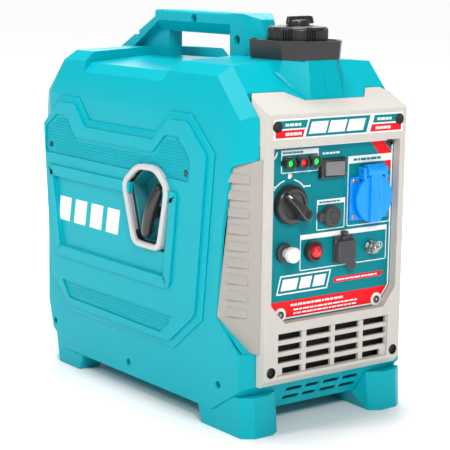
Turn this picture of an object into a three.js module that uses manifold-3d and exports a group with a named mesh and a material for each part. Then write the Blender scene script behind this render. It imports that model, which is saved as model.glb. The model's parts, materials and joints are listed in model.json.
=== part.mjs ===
// Portable inverter generator: a suitcase-style casing in two half shells, with its control panel,
// recoil starter, engine, alternator and inverter inside.
// Millimetres. +Z up, +X to the right of someone facing the control panel, the panel faces -Y.
// The origin is on the ground, under the middle of the machine.
import * as THREE from "three";
import { mergeVertices } from "three/addons/utils/BufferGeometryUtils.js";
import { ConvexGeometry } from "three/addons/geometries/ConvexGeometry.js";
import Module from "manifold-3d";

const wasm = await Module();
wasm.setup();

// ---- driving dimensions ----
const GAP = 0.3; // between pieces that touch
const HALF_WIDTH = 111; // side planes of the casing
const LENGTH = 409; // bezel face to rear face
const DECK_Z = 374; // flat top of the casing
const BELLY_Z = 20; // underside of the casing
const WALL = 3; // casing wall
const FRONT = -200; // y of the bezel face
const REAR = FRONT + LENGTH;

const DECK_IN = 19; // deck edge in from the side plane
const SHOULDER_IN = 8; // shoulder line in from the side plane
const SHOULDER_DROP = 13; // deck down to the shoulder line
const CROWN = 2; // middle of the deck above its edges
const SIDE_TOP_Z = DECK_Z - 52; // top of the side planes

const HANDLE_HALF_WIDTH = 20;
const HANDLE_TOP_Z = DECK_Z + 46;
const HANDLE_DEPTH = 12; // thickness of the top bar at its outer faces
const HAND_FRONT = FRONT + 158; // hand gap, front and rear
const HAND_REAR = FRONT + 294;
const RECESS_DROP = 6; // middle of the finger recess below the deck

const FOOT_LENGTH = 75;
const FOOT_WIDTH = 30;
const FOOT_OUTER_X = HALF_WIDTH - 1.5;

const BEZEL_HALF_WIDTH = HALF_WIDTH - 19;
const BEZEL_FRAME = 7; // bezel width beside the control panel
const PANEL_DEPTH = 10; // control panel face behind the bezel face
const PANEL_THICKNESS = 2.5;
const PANEL_TOP_Z = DECK_Z - 79;
const PANEL_BOTTOM_Z = 117;
const NAMEPLATE_HEIGHT = 28;
const BEZEL_TOP_Z = PANEL_TOP_Z + NAMEPLATE_HEIGHT + 4;
const BEZEL_BOTTOM_Z = 52;
const GRILLE_ROWS = 4;
const GRILLE_PITCH = 11.8;
const GRILLE_SLOT_HEIGHT = 7;

const COVER_THICKNESS = 3.5; // side service covers
const COVER_FRAME_RISE = 2; // raised middle of a cover
const LOUVRE_COUNT = 9;
const LOUVRE_PITCH = 17;
const LOUVRE_SLOT = 3.6;

const CAP_RADIUS = 31.5;
const CAP_HEIGHT = 19;
const COLLAR_HEIGHT = 19;
const NECK_RADIUS = 20; // tank filler neck
const FILLER_Y = FRONT + 70;

const CRANK_Y = FRONT + 205;
const CRANK_Z = 178;
const SHAFT_RADIUS = 10;
const PULLEY_RADIUS = 46;
const ROPE_RADIUS = 2.5;

const ROUND = 24; // sides of a round piece
const SMALL_ROUND = 14; // sides of a small round piece

// ---- solids ----
function solid(geometry) {
  const bare = geometry.clone();
  bare.deleteAttribute("normal");
  bare.deleteAttribute("uv");
  const merged = mergeVertices(bare, 1e-4);
  const triVerts = new Uint32Array(merged.index.array);
  const vertProperties = merged.attributes.position.array;
  return new wasm.Manifold(new wasm.Mesh({ numProp: 3, vertProperties, triVerts }));
}

function box(x0, x1, y0, y1, z0, z1) {
  const geometry = new THREE.BoxGeometry(x1 - x0, y1 - y0, z1 - z0);
  geometry.translate((x0 + x1) / 2, (y0 + y1) / 2, (z0 + z1) / 2);
  return solid(geometry);
}

function hull(points) {
  return solid(new ConvexGeometry(points.map((p) => new THREE.Vector3(...p))));
}

// Both halves of a shape whose points are given for the +X side.
const mirrored = (points) => points.flatMap(([x, y, z]) => [[x, y, z], [-x, y, z]]);

function extrude(outline, depth, options = {}) {
  const shape = new THREE.Shape(outline.map(([u, v]) => new THREE.Vector2(u, v)));
  return new THREE.ExtrudeGeometry(shape, { depth, bevelEnabled: false, steps: 1, ...options });
}

// An outline in (y, z) run along X.
function alongX(outline, x0, x1) {
  const geometry = extrude(outline, x1 - x0);
  geometry.rotateX(Math.PI / 2).rotateZ(Math.PI / 2).translate(x0, 0, 0);
  return solid(geometry);
}

// An outline in (x, z) run along Y.
function alongY(outline, y0, y1) {
  const geometry = extrude(outline, y1 - y0);
  geometry.rotateX(Math.PI / 2).translate(0, y1, 0);
  return solid(geometry);
}

// An outline in (x, y) run along Z.
function alongZ(outline, z0, z1) {
  return solid(extrude(outline, z1 - z0).translate(0, 0, z0));
}

// A profile of [radius, height] turned about an axis through a point, its height along that axis.
function turned(profile, axis, [x, y, z], sides = ROUND) {
  const geometry = new THREE.LatheGeometry(profile.map(([r, h]) => new THREE.Vector2(r, h)), sides);
  if (axis === "z") geometry.rotateX(Math.PI / 2);
  if (axis === "x") geometry.rotateZ(-Math.PI / 2);
  geometry.translate(x, y, z);
  return solid(geometry);
}

function rod(radius, from, to, axis, centre, sides = ROUND) {
  return turned([[0, from], [radius, from], [radius, to], [0, to]], axis, centre, sides);
}

function tube(inner, outer, from, to, axis, centre, sides = ROUND) {
  const profile = [[inner, from], [outer, from], [outer, to], [inner, to], [inner, from]];
  return turned(profile, axis, centre, sides);
}

// A closed outline moved inwards by a distance, with mitred corners.
function inset(outline, distance) {
  const count = outline.length;
  const area = outline.reduce((sum, [u, v], i) => {
    const [p, q] = outline[(i + 1) % count];
    return sum + u * q - p * v;
  }, 0);
  const side = Math.sign(area) * distance;
  const normal = ([u, v], [p, q]) => {
    const length = Math.hypot(p - u, q - v);
    return [(v - q) / length, (p - u) / length];
  };
  return outline.map((point, i) => {
    const before = normal(outline[(i + count - 1) % count], point);
    const after = normal(point, outline[(i + 1) % count]);
    const scale = side / (1 + before[0] * after[0] + before[1] * after[1]);
    return [point[0] + (before[0] + after[0]) * scale, point[1] + (before[1] + after[1]) * scale];
  });
}

const circle = (radius, [u, v], sides = ROUND) =>
  Array.from({ length: sides }, (_, i) => {
    const angle = ((i + 0.5) * 2 * Math.PI) / sides;
    return [u + radius * Math.cos(angle), v + radius * Math.sin(angle)];
  });

const union = (first, ...others) => others.reduce((sum, next) => sum.add(next), first);
const cut = (first, ...others) => others.reduce((rest, next) => rest.subtract(next), first);

// ---- the assembly ----
const generator = new THREE.Group();

const FINISH = {
  casing: { color: 0x00a9b4, roughness: 0.42, metalness: 0 },
  bezel: { color: 0xc9c4bc, roughness: 0.5, metalness: 0 },
  louvre: { color: 0xaaa59f, roughness: 0.55, metalness: 0 },
  panel: { color: 0x00808a, roughness: 0.4, metalness: 0 },
  black: { color: 0x1b1b1c, roughness: 0.5, metalness: 0 },
  rubber: { color: 0x2b2c2e, roughness: 0.85, metalness: 0 },
  grey: { color: 0x6d6e70, roughness: 0.45, metalness: 0 },
  silver: { color: 0xb9babb, roughness: 0.35, metalness: 0.1 },
  white: { color: 0xe6e6e2, roughness: 0.4, metalness: 0 },
  red: { color: 0xd01226, roughness: 0.35, metalness: 0 },
  green: { color: 0x18d048, roughness: 0.3, metalness: 0 },
  blue: { color: 0x0a8fe8, roughness: 0.35, metalness: 0 },
  steel: { color: 0x9c9c9a, roughness: 0.35, metalness: 1 },
  aluminium: { color: 0xb4b5b6, roughness: 0.5, metalness: 1 },
  tank: { color: 0x26282a, roughness: 0.6, metalness: 0 },
  rope: { color: 0x22211f, roughness: 0.9, metalness: 0 },
};

function add(name, body, finish, place = {}) {
  const found = body.getMesh();
  const geometry = new THREE.BufferGeometry();
  geometry.setAttribute("position", new THREE.BufferAttribute(found.vertProperties, 3));
  geometry.setIndex(new THREE.BufferAttribute(found.triVerts, 1));
  const mesh = new THREE.Mesh(geometry, new THREE.MeshStandardMaterial(FINISH[finish]));
  mesh.name = name;
  mesh.position.set(...(place.at ?? [0, 0, 0]));
  mesh.rotation.set(...(place.turn ?? [0, 0, 0]));
  generator.add(mesh);
}

// ---- casing: two half shells that meet at x = 0 and hold the handle between them ----
const LOUVRE_TOP_Z = SIDE_TOP_Z - 38;
const LOUVRE_BOTTOM_Z = BELLY_Z + 66;
const SHOULDER_X = HALF_WIDTH - SHOULDER_IN;
const DECK_X = HALF_WIDTH - DECK_IN;
const SLOPE_TOP = [FRONT + 60, DECK_Z - 2]; // front slope, from the deck down to the bezel
const SLOPE_FOOT = [FRONT + 36, DECK_Z - 28];
const BAND_Y = FRONT + 14; // front face of the shells beside the bezel
const CORNER_Y = FRONT + 58; // front end of the side planes

function casingBlock(shrink) {
  const x = HALF_WIDTH - shrink;
  const top = DECK_Z - shrink;
  const low = BELLY_Z + shrink;
  const front = shrink;
  const rear = REAR - shrink;
  return hull(mirrored([
    [22, SLOPE_TOP[0] + 2 + front, top + CROWN],
    [22, REAR - 59 - shrink, top + CROWN],
    [DECK_X - shrink, SLOPE_TOP[0] + front, top - 2],
    [DECK_X - shrink, REAR - 52 - shrink, top - 2],
    [SHOULDER_X - shrink, FRONT + 70 + front, DECK_Z - SHOULDER_DROP - shrink],
    [SHOULDER_X - shrink, REAR - 43 - shrink, DECK_Z - SHOULDER_DROP - shrink],
    [SHOULDER_X - shrink, FRONT + 32 + front, SIDE_TOP_Z - 2 - shrink],
    [BEZEL_HALF_WIDTH - shrink, FRONT + 17 + front, SIDE_TOP_Z + 4 - shrink],
    [BEZEL_HALF_WIDTH, BAND_Y + front, SIDE_TOP_Z - shrink],
    [x, FRONT + 101, SIDE_TOP_Z - 2],
    [x, CORNER_Y + front, SIDE_TOP_Z - 36],
    [x, CORNER_Y - 1 + front, LOUVRE_BOTTOM_Z + 32],
    [x, rear - 24, SIDE_TOP_Z - shrink],
    [x - 10, rear - 3, SIDE_TOP_Z - shrink],
    [x - 10, rear, SIDE_TOP_Z - 22],
    [BEZEL_HALF_WIDTH, BAND_Y + front, BEZEL_BOTTOM_Z],
    [x, FRONT + 19 + front, BELLY_Z + 28],
    [HALF_WIDTH - 24, FRONT + 31 + front, low],
    [x, FRONT + 64 + front, low],
    [x, rear - 57, low],
    [x, rear - 27, BELLY_Z + 21 + shrink],
    [x, rear - 18, BELLY_Z + 54],
    [x - 10, rear - 8, BELLY_Z + 54],
  ]));
}

// Neck under the fuel collar, with an apron that fills the notch of the bezel's rear edge.
const NOTCH_Y = FRONT + 20.5;
const NOTCH = { left: -30, right: 50, rearLeft: -47, rearRight: 66 };
const COLLAR_Z = DECK_Z + 2.5;
const COLLAR_FRONT_Y = FRONT + 29;
const COLLAR_HALF_WIDTH = 41;
function fillerNeck() {
  const y = NOTCH_Y + GAP;
  const rear = SLOPE_FOOT[0] + GAP;
  const low = DECK_Z - 44;
  const corners = [
    [NOTCH.left + 0.7, y], [NOTCH.right - 0.7, y],
    [NOTCH.rearRight - 1.5, rear], [NOTCH.rearLeft + 1.5, rear],
  ];
  const apron = hull([
    ...corners.map(([px, py]) => [px, py, low]),
    ...corners.slice(0, 2).map(([px, py]) => [px, py, DECK_Z - 37]),
    ...corners.slice(2).map(([px, py]) => [px, py, DECK_Z - 26]),
    [-60, SLOPE_TOP[0], DECK_Z - 4], [62, SLOPE_TOP[0], DECK_Z - 4], [0, SLOPE_TOP[0] + 20, low],
  ]);
  const half = COLLAR_HALF_WIDTH - 3;
  const neck = hull(mirrored([
    [22, y, DECK_Z - 37],
    [18, COLLAR_FRONT_Y + 2, COLLAR_Z],
    [half, COLLAR_FRONT_Y + 18, COLLAR_Z],
    [half + 7, COLLAR_FRONT_Y + 20, DECK_Z - 18],
    [half, COLLAR_FRONT_Y + 70, COLLAR_Z],
    [half + 10, COLLAR_FRONT_Y + 90, DECK_Z - 20],
  ]));
  const flare = hull(mirrored([
    [25, y + 3, DECK_Z - 37],
    [30, COLLAR_FRONT_Y + 8, DECK_Z - 16],
    [half + 9, COLLAR_FRONT_Y + 22, DECK_Z - 9],
    [half + 9, COLLAR_FRONT_Y + 60, DECK_Z - 12],
    [8, COLLAR_FRONT_Y + 30, DECK_Z - 30],
  ]));
  return union(apron, neck, flare);
}

// Space for the fingers on both sides of the handle, its floor falling away to the shoulders.
function fingerRecess(grow) {
  const floor = DECK_Z - RECESS_DROP - grow;
  const top = HANDLE_TOP_Z + 20;
  const front = FRONT + 143 - grow;
  const rear = FRONT + 320 + grow;
  const long = alongX(
    [[front + 46, DECK_Z - 52], [rear, DECK_Z - 52], [rear, top], [front, top], [front, DECK_Z]],
    -HALF_WIDTH * 2, HALF_WIDTH * 2);
  const edge = DECK_X + 3;
  const fall = 8;
  const reach = 30;
  const section = [
    [0, floor],
    [edge, floor - fall],
    [edge + reach, floor - fall - reach],
    [edge + reach, top],
    [-edge - reach, top],
    [-edge - reach, floor - fall - reach],
    [-edge, floor - fall],
  ];
  return long.intersect(alongY(section, FRONT, REAR));
}

function handle() {
  const x = HANDLE_HALF_WIDTH;
  const foot = DECK_Z - 24;
  const under = HANDLE_TOP_Z - HANDLE_DEPTH;
  const bar = alongY(
    [[-x, under], [-x, HANDLE_TOP_Z - 2], [-x + 3, HANDLE_TOP_Z], [x - 3, HANDLE_TOP_Z],
      [x, HANDLE_TOP_Z - 2], [x, under], [x - 11, under - 12], [-x + 11, under - 12]],
    HAND_FRONT - 10, HAND_REAR + 8);
  const front = hull(mirrored([
    [x, HAND_FRONT - 21, HANDLE_TOP_Z], [x, HAND_FRONT + 2, HANDLE_TOP_Z],
    [x, HAND_FRONT - 28, DECK_Z - 2], [x, HAND_FRONT + 1, foot],
    [8, HAND_FRONT - 38, HANDLE_TOP_Z - 6], [9, HAND_FRONT - 56, DECK_Z - 2],
  ]));
  const rear = alongX(
    [[HAND_REAR, under], [HAND_REAR - 8, HANDLE_TOP_Z], [REAR - 122, HANDLE_TOP_Z], [REAR - 35, DECK_Z],
      [REAR - 35, DECK_Z - 6], [HAND_REAR + 50, DECK_Z - 12], [HAND_REAR + 52, DECK_Z + 2]],
    -x, x);
  const core = alongX(
    [[HAND_REAR - 5, under], [HAND_REAR - 5, foot], [HAND_REAR + 50, foot], [HAND_REAR + 50, DECK_Z + 6],
      [HAND_REAR, under]],
    -x + 11, x - 11);
  return union(bar, front, rear, core);
}

// Screw pockets, [y, z]; those of the handle and those along the foot of the casing.
const HANDLE_SCREWS = [
  [HAND_FRONT - 11, DECK_Z + 18], [HAND_FRONT + 68, DECK_Z + 38], [REAR - 69, DECK_Z + 17],
];
const CASING_SCREWS = [
  [FRONT + 52, BELLY_Z + 28], [FRONT + 218, BELLY_Z + 14], [REAR - 32, BELLY_Z + 29],
];
const POCKET_RADIUS = 5;
const POCKET_DEPTH = 7;
const BOSS_RADIUS = 8;
const INTAKE_ROWS = [[FRONT + 21, BELLY_Z + 18], [FRONT + 29, BELLY_Z + 8]]; // air slots below the bezel
const INTAKE_COLUMNS = [[-47, -25], [-20, -2], [4, 26], [31, 53]];

function casing() {
  const cavity = casingBlock(WALL).subtract(fingerRecess(WALL));
  let body = casingBlock(0).subtract(fingerRecess(0));
  body = union(body, fillerNeck(), handle()).subtract(cavity);
  for (const side of [-1, 1]) {
    for (const [y, z] of CASING_SCREWS) {
      const reach = [side * (HALF_WIDTH - 1), side * (HALF_WIDTH - 13)].sort((a, b) => a - b);
      body = body.add(rod(BOSS_RADIUS, ...reach, "x", [0, y, z], SMALL_ROUND).intersect(casingBlock(0)));
    }
  }
  for (const side of [-1, 1]) {
    const face = (x) => [side * (x + 1), side * (x - POCKET_DEPTH)].sort((a, b) => a - b);
    for (const [y, z] of HANDLE_SCREWS) {
      body = body.subtract(rod(POCKET_RADIUS, ...face(HANDLE_HALF_WIDTH), "x", [0, y, z], SMALL_ROUND));
    }
    for (const [y, z] of CASING_SCREWS) {
      body = body.subtract(rod(POCKET_RADIUS - 1, ...face(HALF_WIDTH), "x", [0, y, z], SMALL_ROUND));
    }
  }
  const bezelWell = box(
    -BEZEL_HALF_WIDTH - GAP, BEZEL_HALF_WIDTH + GAP, FRONT - 20, SLOPE_FOOT[0] + GAP,
    BEZEL_BOTTOM_Z - GAP, DECK_Z + 40);
  body = body.subtract(bezelWell.subtract(fillerNeck()));
  for (const [y, z] of INTAKE_ROWS) {
    for (const [x0, x1] of INTAKE_COLUMNS) {
      body = body.subtract(box(x0, x1, y - 8, y + 8, z, z + 4));
    }
  }
  const shaft = rod(NECK_RADIUS + 4, DECK_Z - 60, COLLAR_Z + 5, "z", [0, FILLER_Y, 0]);
  const rearOpening = box(
    -REAR_COVER.halfWidth, REAR_COVER.halfWidth, REAR - 30, REAR + 10, REAR_COVER.low, REAR_COVER.high);
  body = cut(body, shaft, rearOpening, louvreRegion(0), serviceOpenings());
  return body;
}

// ---- louvred side panels, set into the front corners of the casing ----
function louvreRegion(shrink) {
  const outline = inset(
    [[FRONT - 20, LOUVRE_TOP_Z], [FRONT + 8, LOUVRE_TOP_Z], [FRONT + 41, LOUVRE_TOP_Z - 11],
      [FRONT + 55, LOUVRE_BOTTOM_Z + 51], [FRONT + 57, LOUVRE_BOTTOM_Z + 33], [FRONT + 21, LOUVRE_BOTTOM_Z],
      [FRONT - 20, LOUVRE_BOTTOM_Z]],
    shrink);
  const slab = (side) => {
    const reach = [side * (BEZEL_HALF_WIDTH - 3), side * (HALF_WIDTH + 8)].sort((a, b) => a - b);
    return alongX(outline, ...reach);
  };
  return union(slab(-1), slab(1));
}

function louvrePanel(side) {
  const lean = HALF_WIDTH - BEZEL_HALF_WIDTH;
  const skin = [
    [BEZEL_HALF_WIDTH + GAP, FRONT + 8], [BEZEL_HALF_WIDTH + 5, FRONT + 21],
    [BEZEL_HALF_WIDTH + lean, FRONT + 60], [BEZEL_HALF_WIDTH + lean - 3, FRONT + 60],
    [BEZEL_HALF_WIDTH + 2, FRONT + 22], [BEZEL_HALF_WIDTH + GAP, FRONT + 16],
  ].map(([x, y]) => [side * x, y]);
  if (side > 0) skin.reverse();
  let body = alongZ(skin, LOUVRE_BOTTOM_Z - 5, LOUVRE_TOP_Z + 5).intersect(louvreRegion(GAP));
  for (let i = 0; i < LOUVRE_COUNT; i += 1) {
    const z = LOUVRE_BOTTOM_Z + 36 + i * LOUVRE_PITCH;
    const reach = [side * BEZEL_HALF_WIDTH, side * (HALF_WIDTH + 10)].sort((a, b) => a - b);
    body = body.subtract(box(...reach, FRONT + 25, FRONT + 39, z, z + LOUVRE_SLOT));
  }
  return body;
}

// ---- side service covers ----
const COVER_MID_Y = FRONT + 230;
function coverOutline() {
  const low = BELLY_Z + 49;
  const top = SIDE_TOP_Z - 1;
  return [
    [COVER_MID_Y + 169, top - 36], [COVER_MID_Y + 127, top], [COVER_MID_Y + 90, top],
    [COVER_MID_Y + 68, top - 24], [COVER_MID_Y - 64, top - 24], [COVER_MID_Y - 90, top],
    [COVER_MID_Y - 129, top], [COVER_MID_Y - 169, top - 36], [COVER_MID_Y - 151, low + 41],
    [COVER_MID_Y - 100, low], [COVER_MID_Y + 104, low], [COVER_MID_Y + 153, low + 41],
  ];
}

const FRAME_TOP_Z = SIDE_TOP_Z - 83;
const FRAME_LOW_Z = BELLY_Z + 114;
function coverFrame() {
  return [
    [COVER_MID_Y + 151, FRAME_TOP_Z], [COVER_MID_Y + 131, FRAME_LOW_Z],
    [COVER_MID_Y - 101, FRAME_LOW_Z], [COVER_MID_Y - 114, FRAME_TOP_Z],
  ];
}

// Opening for the recoil starter, in the left cover.
const STARTER_Y = FRONT + 172;
const STARTER_Z = 217;
function starterOutline() {
  return [
    [STARTER_Y + 18, STARTER_Z + 45], [STARTER_Y - 19, STARTER_Z + 46], [STARTER_Y - 43, STARTER_Z + 25],
    [STARTER_Y - 27, STARTER_Z - 46], [STARTER_Y + 25, STARTER_Z - 46], [STARTER_Y + 47, STARTER_Z + 22],
  ];
}

// A cover on the -X side, bevelled round its edge, with its middle raised as a frame.
function serviceCover() {
  const bevel = COVER_THICKNESS - 1;
  const geometry = extrude(coverOutline(), 1 + bevel, {
    bevelEnabled: true, bevelThickness: bevel, bevelSize: 7, bevelOffset: -7, bevelSegments: 1,
  });
  geometry.rotateX(Math.PI / 2).rotateZ(Math.PI / 2);
  const back = -HALF_WIDTH - GAP;
  geometry.translate(back - 1, 0, 0);
  const behind = box(back, back + 20, FRONT - 50, REAR + 50, 0, DECK_Z + 50);
  const plate = solid(geometry).subtract(behind);
  const face = back - COVER_THICKNESS;
  const raised = hull([
    ...coverFrame().map(([y, z]) => [face + 1, y, z]),
    ...inset(coverFrame(), 3).map(([y, z]) => [face - COVER_FRAME_RISE, y, z]),
  ]);
  const sunk = alongX(inset(coverFrame(), 13), face - COVER_FRAME_RISE - 5, face - 0.2);
  return union(plate, raised).subtract(sunk);
}

function mirrorX(body) {
  return body.mirror([1, 0, 0]);
}

function serviceOpenings() {
  const opening = inset(coverOutline(), 14);
  const reach = HALF_WIDTH + 5;
  return alongX(opening, -reach, -reach + 12).add(alongX(opening, reach - 12, reach));
}

// ---- rear cover ----
const REAR_COVER = { halfWidth: 76, low: BELLY_Z + 76, high: SIDE_TOP_Z - 36 };
const EXHAUST = { x: 44, z: 190, radius: 15, bore: 10 };
function rearCover() {
  const { halfWidth, low, high } = REAR_COVER;
  const chamfer = 14;
  const outline = (margin) => {
    const [x, z0, z1] = [halfWidth + margin, low - margin, high + margin];
    return [[-x, z0 + chamfer], [-x + chamfer, z0], [x - chamfer, z0], [x, z0 + chamfer],
      [x, z1 - chamfer], [x - chamfer, z1], [-x + chamfer, z1], [-x, z1 - chamfer]];
  };
  let body = union(
    alongY(outline(6), REAR + GAP, REAR + 2.3),
    box(-halfWidth + 1, halfWidth - 1, REAR - 7, REAR + 1, low + 1, high - 1),
  ).subtract(box(-halfWidth + 4, halfWidth - 4, REAR - 10, REAR - 1, low + 4, high - 4));
  for (let row = 0; row < 11; row += 1) {
    const z = low + 18 + row * 15;
    for (const [x0, x1] of [[-64, -4], [4, 64]]) {
      body = body.subtract(box(x0, x1, REAR - 20, REAR + 20, z, z + 3.6));
    }
  }
  const ring = rod(EXHAUST.radius + 9, REAR - 4, REAR + 2.3, "y", [EXHAUST.x, 0, EXHAUST.z]);
  const hole = rod(EXHAUST.radius + 1.5, REAR - 30, REAR + 20, "y", [EXHAUST.x, 0, EXHAUST.z]);
  return body.add(ring).subtract(hole);
}

// ---- bezel and control panel ----
const PANEL_Y = FRONT + PANEL_DEPTH;
const APERTURE = { left: -(BEZEL_HALF_WIDTH - BEZEL_FRAME), right: BEZEL_HALF_WIDTH - BEZEL_FRAME - 1 };
const GRILLE = { halfWidth: BEZEL_HALF_WIDTH - 17, low: BEZEL_BOTTOM_Z + 11, high: BEZEL_BOTTOM_Z + 55 };

function frontBezel() {
  const x = BEZEL_HALF_WIDTH;
  const rim = FRONT + 14;
  const hoodRear = SLOPE_FOOT[0];
  const outer = alongX(
    [[FRONT, BEZEL_BOTTOM_Z + 8], [FRONT, BEZEL_TOP_Z], [FRONT + 1.6, BEZEL_TOP_Z + 1.5],
      [hoodRear, SLOPE_FOOT[1]], [hoodRear, PANEL_TOP_Z + 1], [rim, PANEL_TOP_Z + 1],
      [rim, BEZEL_BOTTOM_Z], [FRONT + 8, BEZEL_BOTTOM_Z]],
    -x, x);
  const hoodSpace = alongX(
    [[FRONT + 4, PANEL_TOP_Z + 5], [FRONT + 4, BEZEL_TOP_Z - 2], [hoodRear + 1, SLOPE_FOOT[1] - 4],
      [hoodRear + 1, PANEL_TOP_Z - 9], [rim - 1, PANEL_TOP_Z - 9], [rim - 1, PANEL_TOP_Z + 5]],
    -x + 4, x - 4);
  const pocket = box(
    -x + 2.5, x - 2.5, PANEL_Y - GAP, rim + 1, PANEL_BOTTOM_Z - 5, PANEL_TOP_Z + 3);
  const { left, right } = APERTURE;
  const aperture = alongY(
    [[left, PANEL_TOP_Z], [left, PANEL_BOTTOM_Z + 20], [left + 18, PANEL_BOTTOM_Z],
      [right - 16, PANEL_BOTTOM_Z], [right, PANEL_BOTTOM_Z + 20], [right, PANEL_TOP_Z]],
    FRONT - 5, rim + 5);
  const lowPocket = box(-x + 3, x - 3, FRONT + 6, rim + 1, BEZEL_BOTTOM_Z + 4, PANEL_BOTTOM_Z - 8);
  const sunk = box(
    -GRILLE.halfWidth, GRILLE.halfWidth, FRONT - 1, FRONT + 2.5, GRILLE.low, GRILLE.high);
  let body = cut(outer, hoodSpace, pocket, aperture, lowPocket, sunk);
  for (const side of [-1, 1]) {
    body = body.subtract(alongZ(
      [[side * (x + 1), FRONT + 27], [side * (x + 1), hoodRear + 1], [side * (x - 7), hoodRear + 1]]
        .sort((a, b) => side * (a[0] - b[0]) || side * (a[1] - b[1])),
      PANEL_TOP_Z, DECK_Z));
  }
  const notch = alongZ(
    [[NOTCH.left, NOTCH_Y], [NOTCH.right, NOTCH_Y], [NOTCH.rearRight, hoodRear + 1],
      [NOTCH.rearLeft, hoodRear + 1]],
    PANEL_TOP_Z + 20, DECK_Z);
  body = body.subtract(notch);
  const columns = [[-74, -42], [-36, -2.7], [2.7, 36], [42, 74]];
  for (let row = 0; row < GRILLE_ROWS; row += 1) {
    const top = GRILLE.high - 1 - row * GRILLE_PITCH;
    for (const [x0, x1] of columns) {
      const shorten = row === GRILLE_ROWS - 1 && Math.abs(x0 + x1) > 80 ? 7 : 0;
      const from = x0 + (x0 < -50 ? shorten : 0);
      const to = x1 - (x1 > 50 ? shorten : 0);
      body = body.subtract(box(from, to, FRONT - 5, rim + 5, top - GRILLE_SLOT_HEIGHT, top));
    }
  }
  const screws = [
    [-x + 10, BEZEL_TOP_Z - 11.5], [x - 10, BEZEL_TOP_Z - 11.5],
    [-x + 8.5, BEZEL_BOTTOM_Z + 16], [x - 8.5, BEZEL_BOTTOM_Z + 16],
  ];
  for (const [sx, sz] of screws) {
    body = body.subtract(rod(5.2, FRONT - 2, FRONT + 3, "y", [sx, 0, sz], SMALL_ROUND));
  }
  return body;
}

// Controls: their centres on the panel, [x, z].
const LAMPS = [[-62, 278], [-45, 278], [-28.5, 278]];
const ROCKER = { x: -2, z: 269, halfWidth: 18, halfHeight: 10.5, cavity: 12.4 };
const DIAL = { x: -57, z: 236, radius: 20 };
const DC = { x: -3.6, z: 220, radius: 11 };
const AC = { x: 50, z: 234.7, half: 27, half_z: 22.7, radius: 21 };
const KNOB = { x: -63, z: 187.6, radius: 10 };
const BUTTON = { x: -25.4, z: 185.6, radius: 11 };
const USB = { x: 15.7, z: 182, half: 13, half_z: 12 };
const EARTH = { x: 54, z: 181.4 };

function controlPanel() {
  const side = BEZEL_HALF_WIDTH - 2.5 - GAP;
  const back = PANEL_Y + PANEL_THICKNESS;
  const plate = box(-side, side, PANEL_Y, back, PANEL_BOTTOM_Z - 4, PANEL_TOP_Z + 2);
  const through = (radius, x, z) => rod(radius + GAP, PANEL_Y - 5, back + 5, "y", [x, 0, z], SMALL_ROUND);
  const square = (half, halfZ, x, z) => box(
    x - half - GAP, x + half + GAP, PANEL_Y - 5, back + 5, z - halfZ - GAP, z + halfZ + GAP);
  return cut(
    plate,
    ...LAMPS.map(([x, z]) => through(4, x, z)),
    square(ROCKER.halfWidth - 3, ROCKER.halfHeight - 1.5, ROCKER.x, ROCKER.z),
    through(5, DIAL.x, DIAL.z),
    through(DC.radius - 2, DC.x, DC.z),
    rod(AC.radius + 1 + GAP, PANEL_Y - 5, back + 5, "y", [AC.x, 0, AC.z]),
    through(KNOB.radius - 2, KNOB.x, KNOB.z),
    through(BUTTON.radius - 2, BUTTON.x, BUTTON.z),
    square(USB.half - 2, USB.half_z - 2, USB.x, USB.z),
    through(3, EARTH.x, EARTH.z),
  );
}

const FACE = PANEL_Y - GAP; // back plane of what sits on the panel

function statusLamp([x, z]) {
  return turned(
    [[0, FACE - 5.5], [3.4, FACE - 4.5], [4.2, FACE - 4.5], [6.3, FACE - 5], [6.3, FACE], [4, FACE],
      [4, FACE + 14], [0, FACE + 14]],
    "y", [x, 0, z], SMALL_ROUND);
}

function rockerHousing() {
  const { x, z, halfWidth, halfHeight, cavity } = ROCKER;
  const flange = hull([
    [x - halfWidth, FACE, z - halfHeight], [x + halfWidth, FACE, z - halfHeight],
    [x - halfWidth, FACE, z + halfHeight], [x + halfWidth, FACE, z + halfHeight],
    [x - halfWidth + 2, FACE - 5, z - halfHeight + 1], [x + halfWidth - 2, FACE - 5, z - halfHeight + 1],
    [x - halfWidth + 2, FACE - 5, z + halfHeight - 1], [x + halfWidth - 2, FACE - 5, z + halfHeight - 1],
  ]);
  const stem = box(
    x - halfWidth + 3, x + halfWidth - 3, FACE - 1, FACE + 16, z - halfHeight + 1.5, z + halfHeight - 1.5);
  const space = box(x - cavity, x + cavity, FACE - 10, FACE + 10, z - halfHeight + 3, z + halfHeight - 3);
  return flange.add(stem).subtract(space);
}

const ROCKER_PIVOT_Y = FACE - 1.5;
function rockerSwitch() {
  const { x, z, halfHeight } = ROCKER;
  const half = 11;
  const plan = [[-half, -1.4], [-half + 0.5, -3.6], [0, -4.6], [half, -7.4], [half, -1.4], [6, 6], [-6, 6]]
    .map(([u, v]) => [x + u, ROCKER_PIVOT_Y + v]);
  return alongZ(plan.reverse(), z - halfHeight + 3 + GAP, z + halfHeight - 3 - GAP);
}

function engineDial() {
  const { x, z, radius } = DIAL;
  const disc = turned(
    [[0, FACE - 9], [radius - 4, FACE - 9], [radius, FACE - 5], [radius, FACE], [5, FACE],
      [5, FACE + 12], [0, FACE + 12]],
    "y", [x, 0, z]);
  const turn = new THREE.Vector2(1, -1).normalize();
  const across = new THREE.Vector2(-turn.y, turn.x);
  const corner = (along, aside) => [
    x + turn.x * along + across.x * aside, z + turn.y * along + across.y * aside];
  const bar = (y, end, half) => [[end, half], [end, -half], [-end, -half], [-end, half]]
    .map(([along, aside]) => corner(along, aside)).map(([u, v]) => [u, y, v]);
  return disc.add(hull([...bar(FACE - 8, radius - 1, 7), ...bar(FACE - 22, radius - 3, 4.2)]));
}

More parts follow.
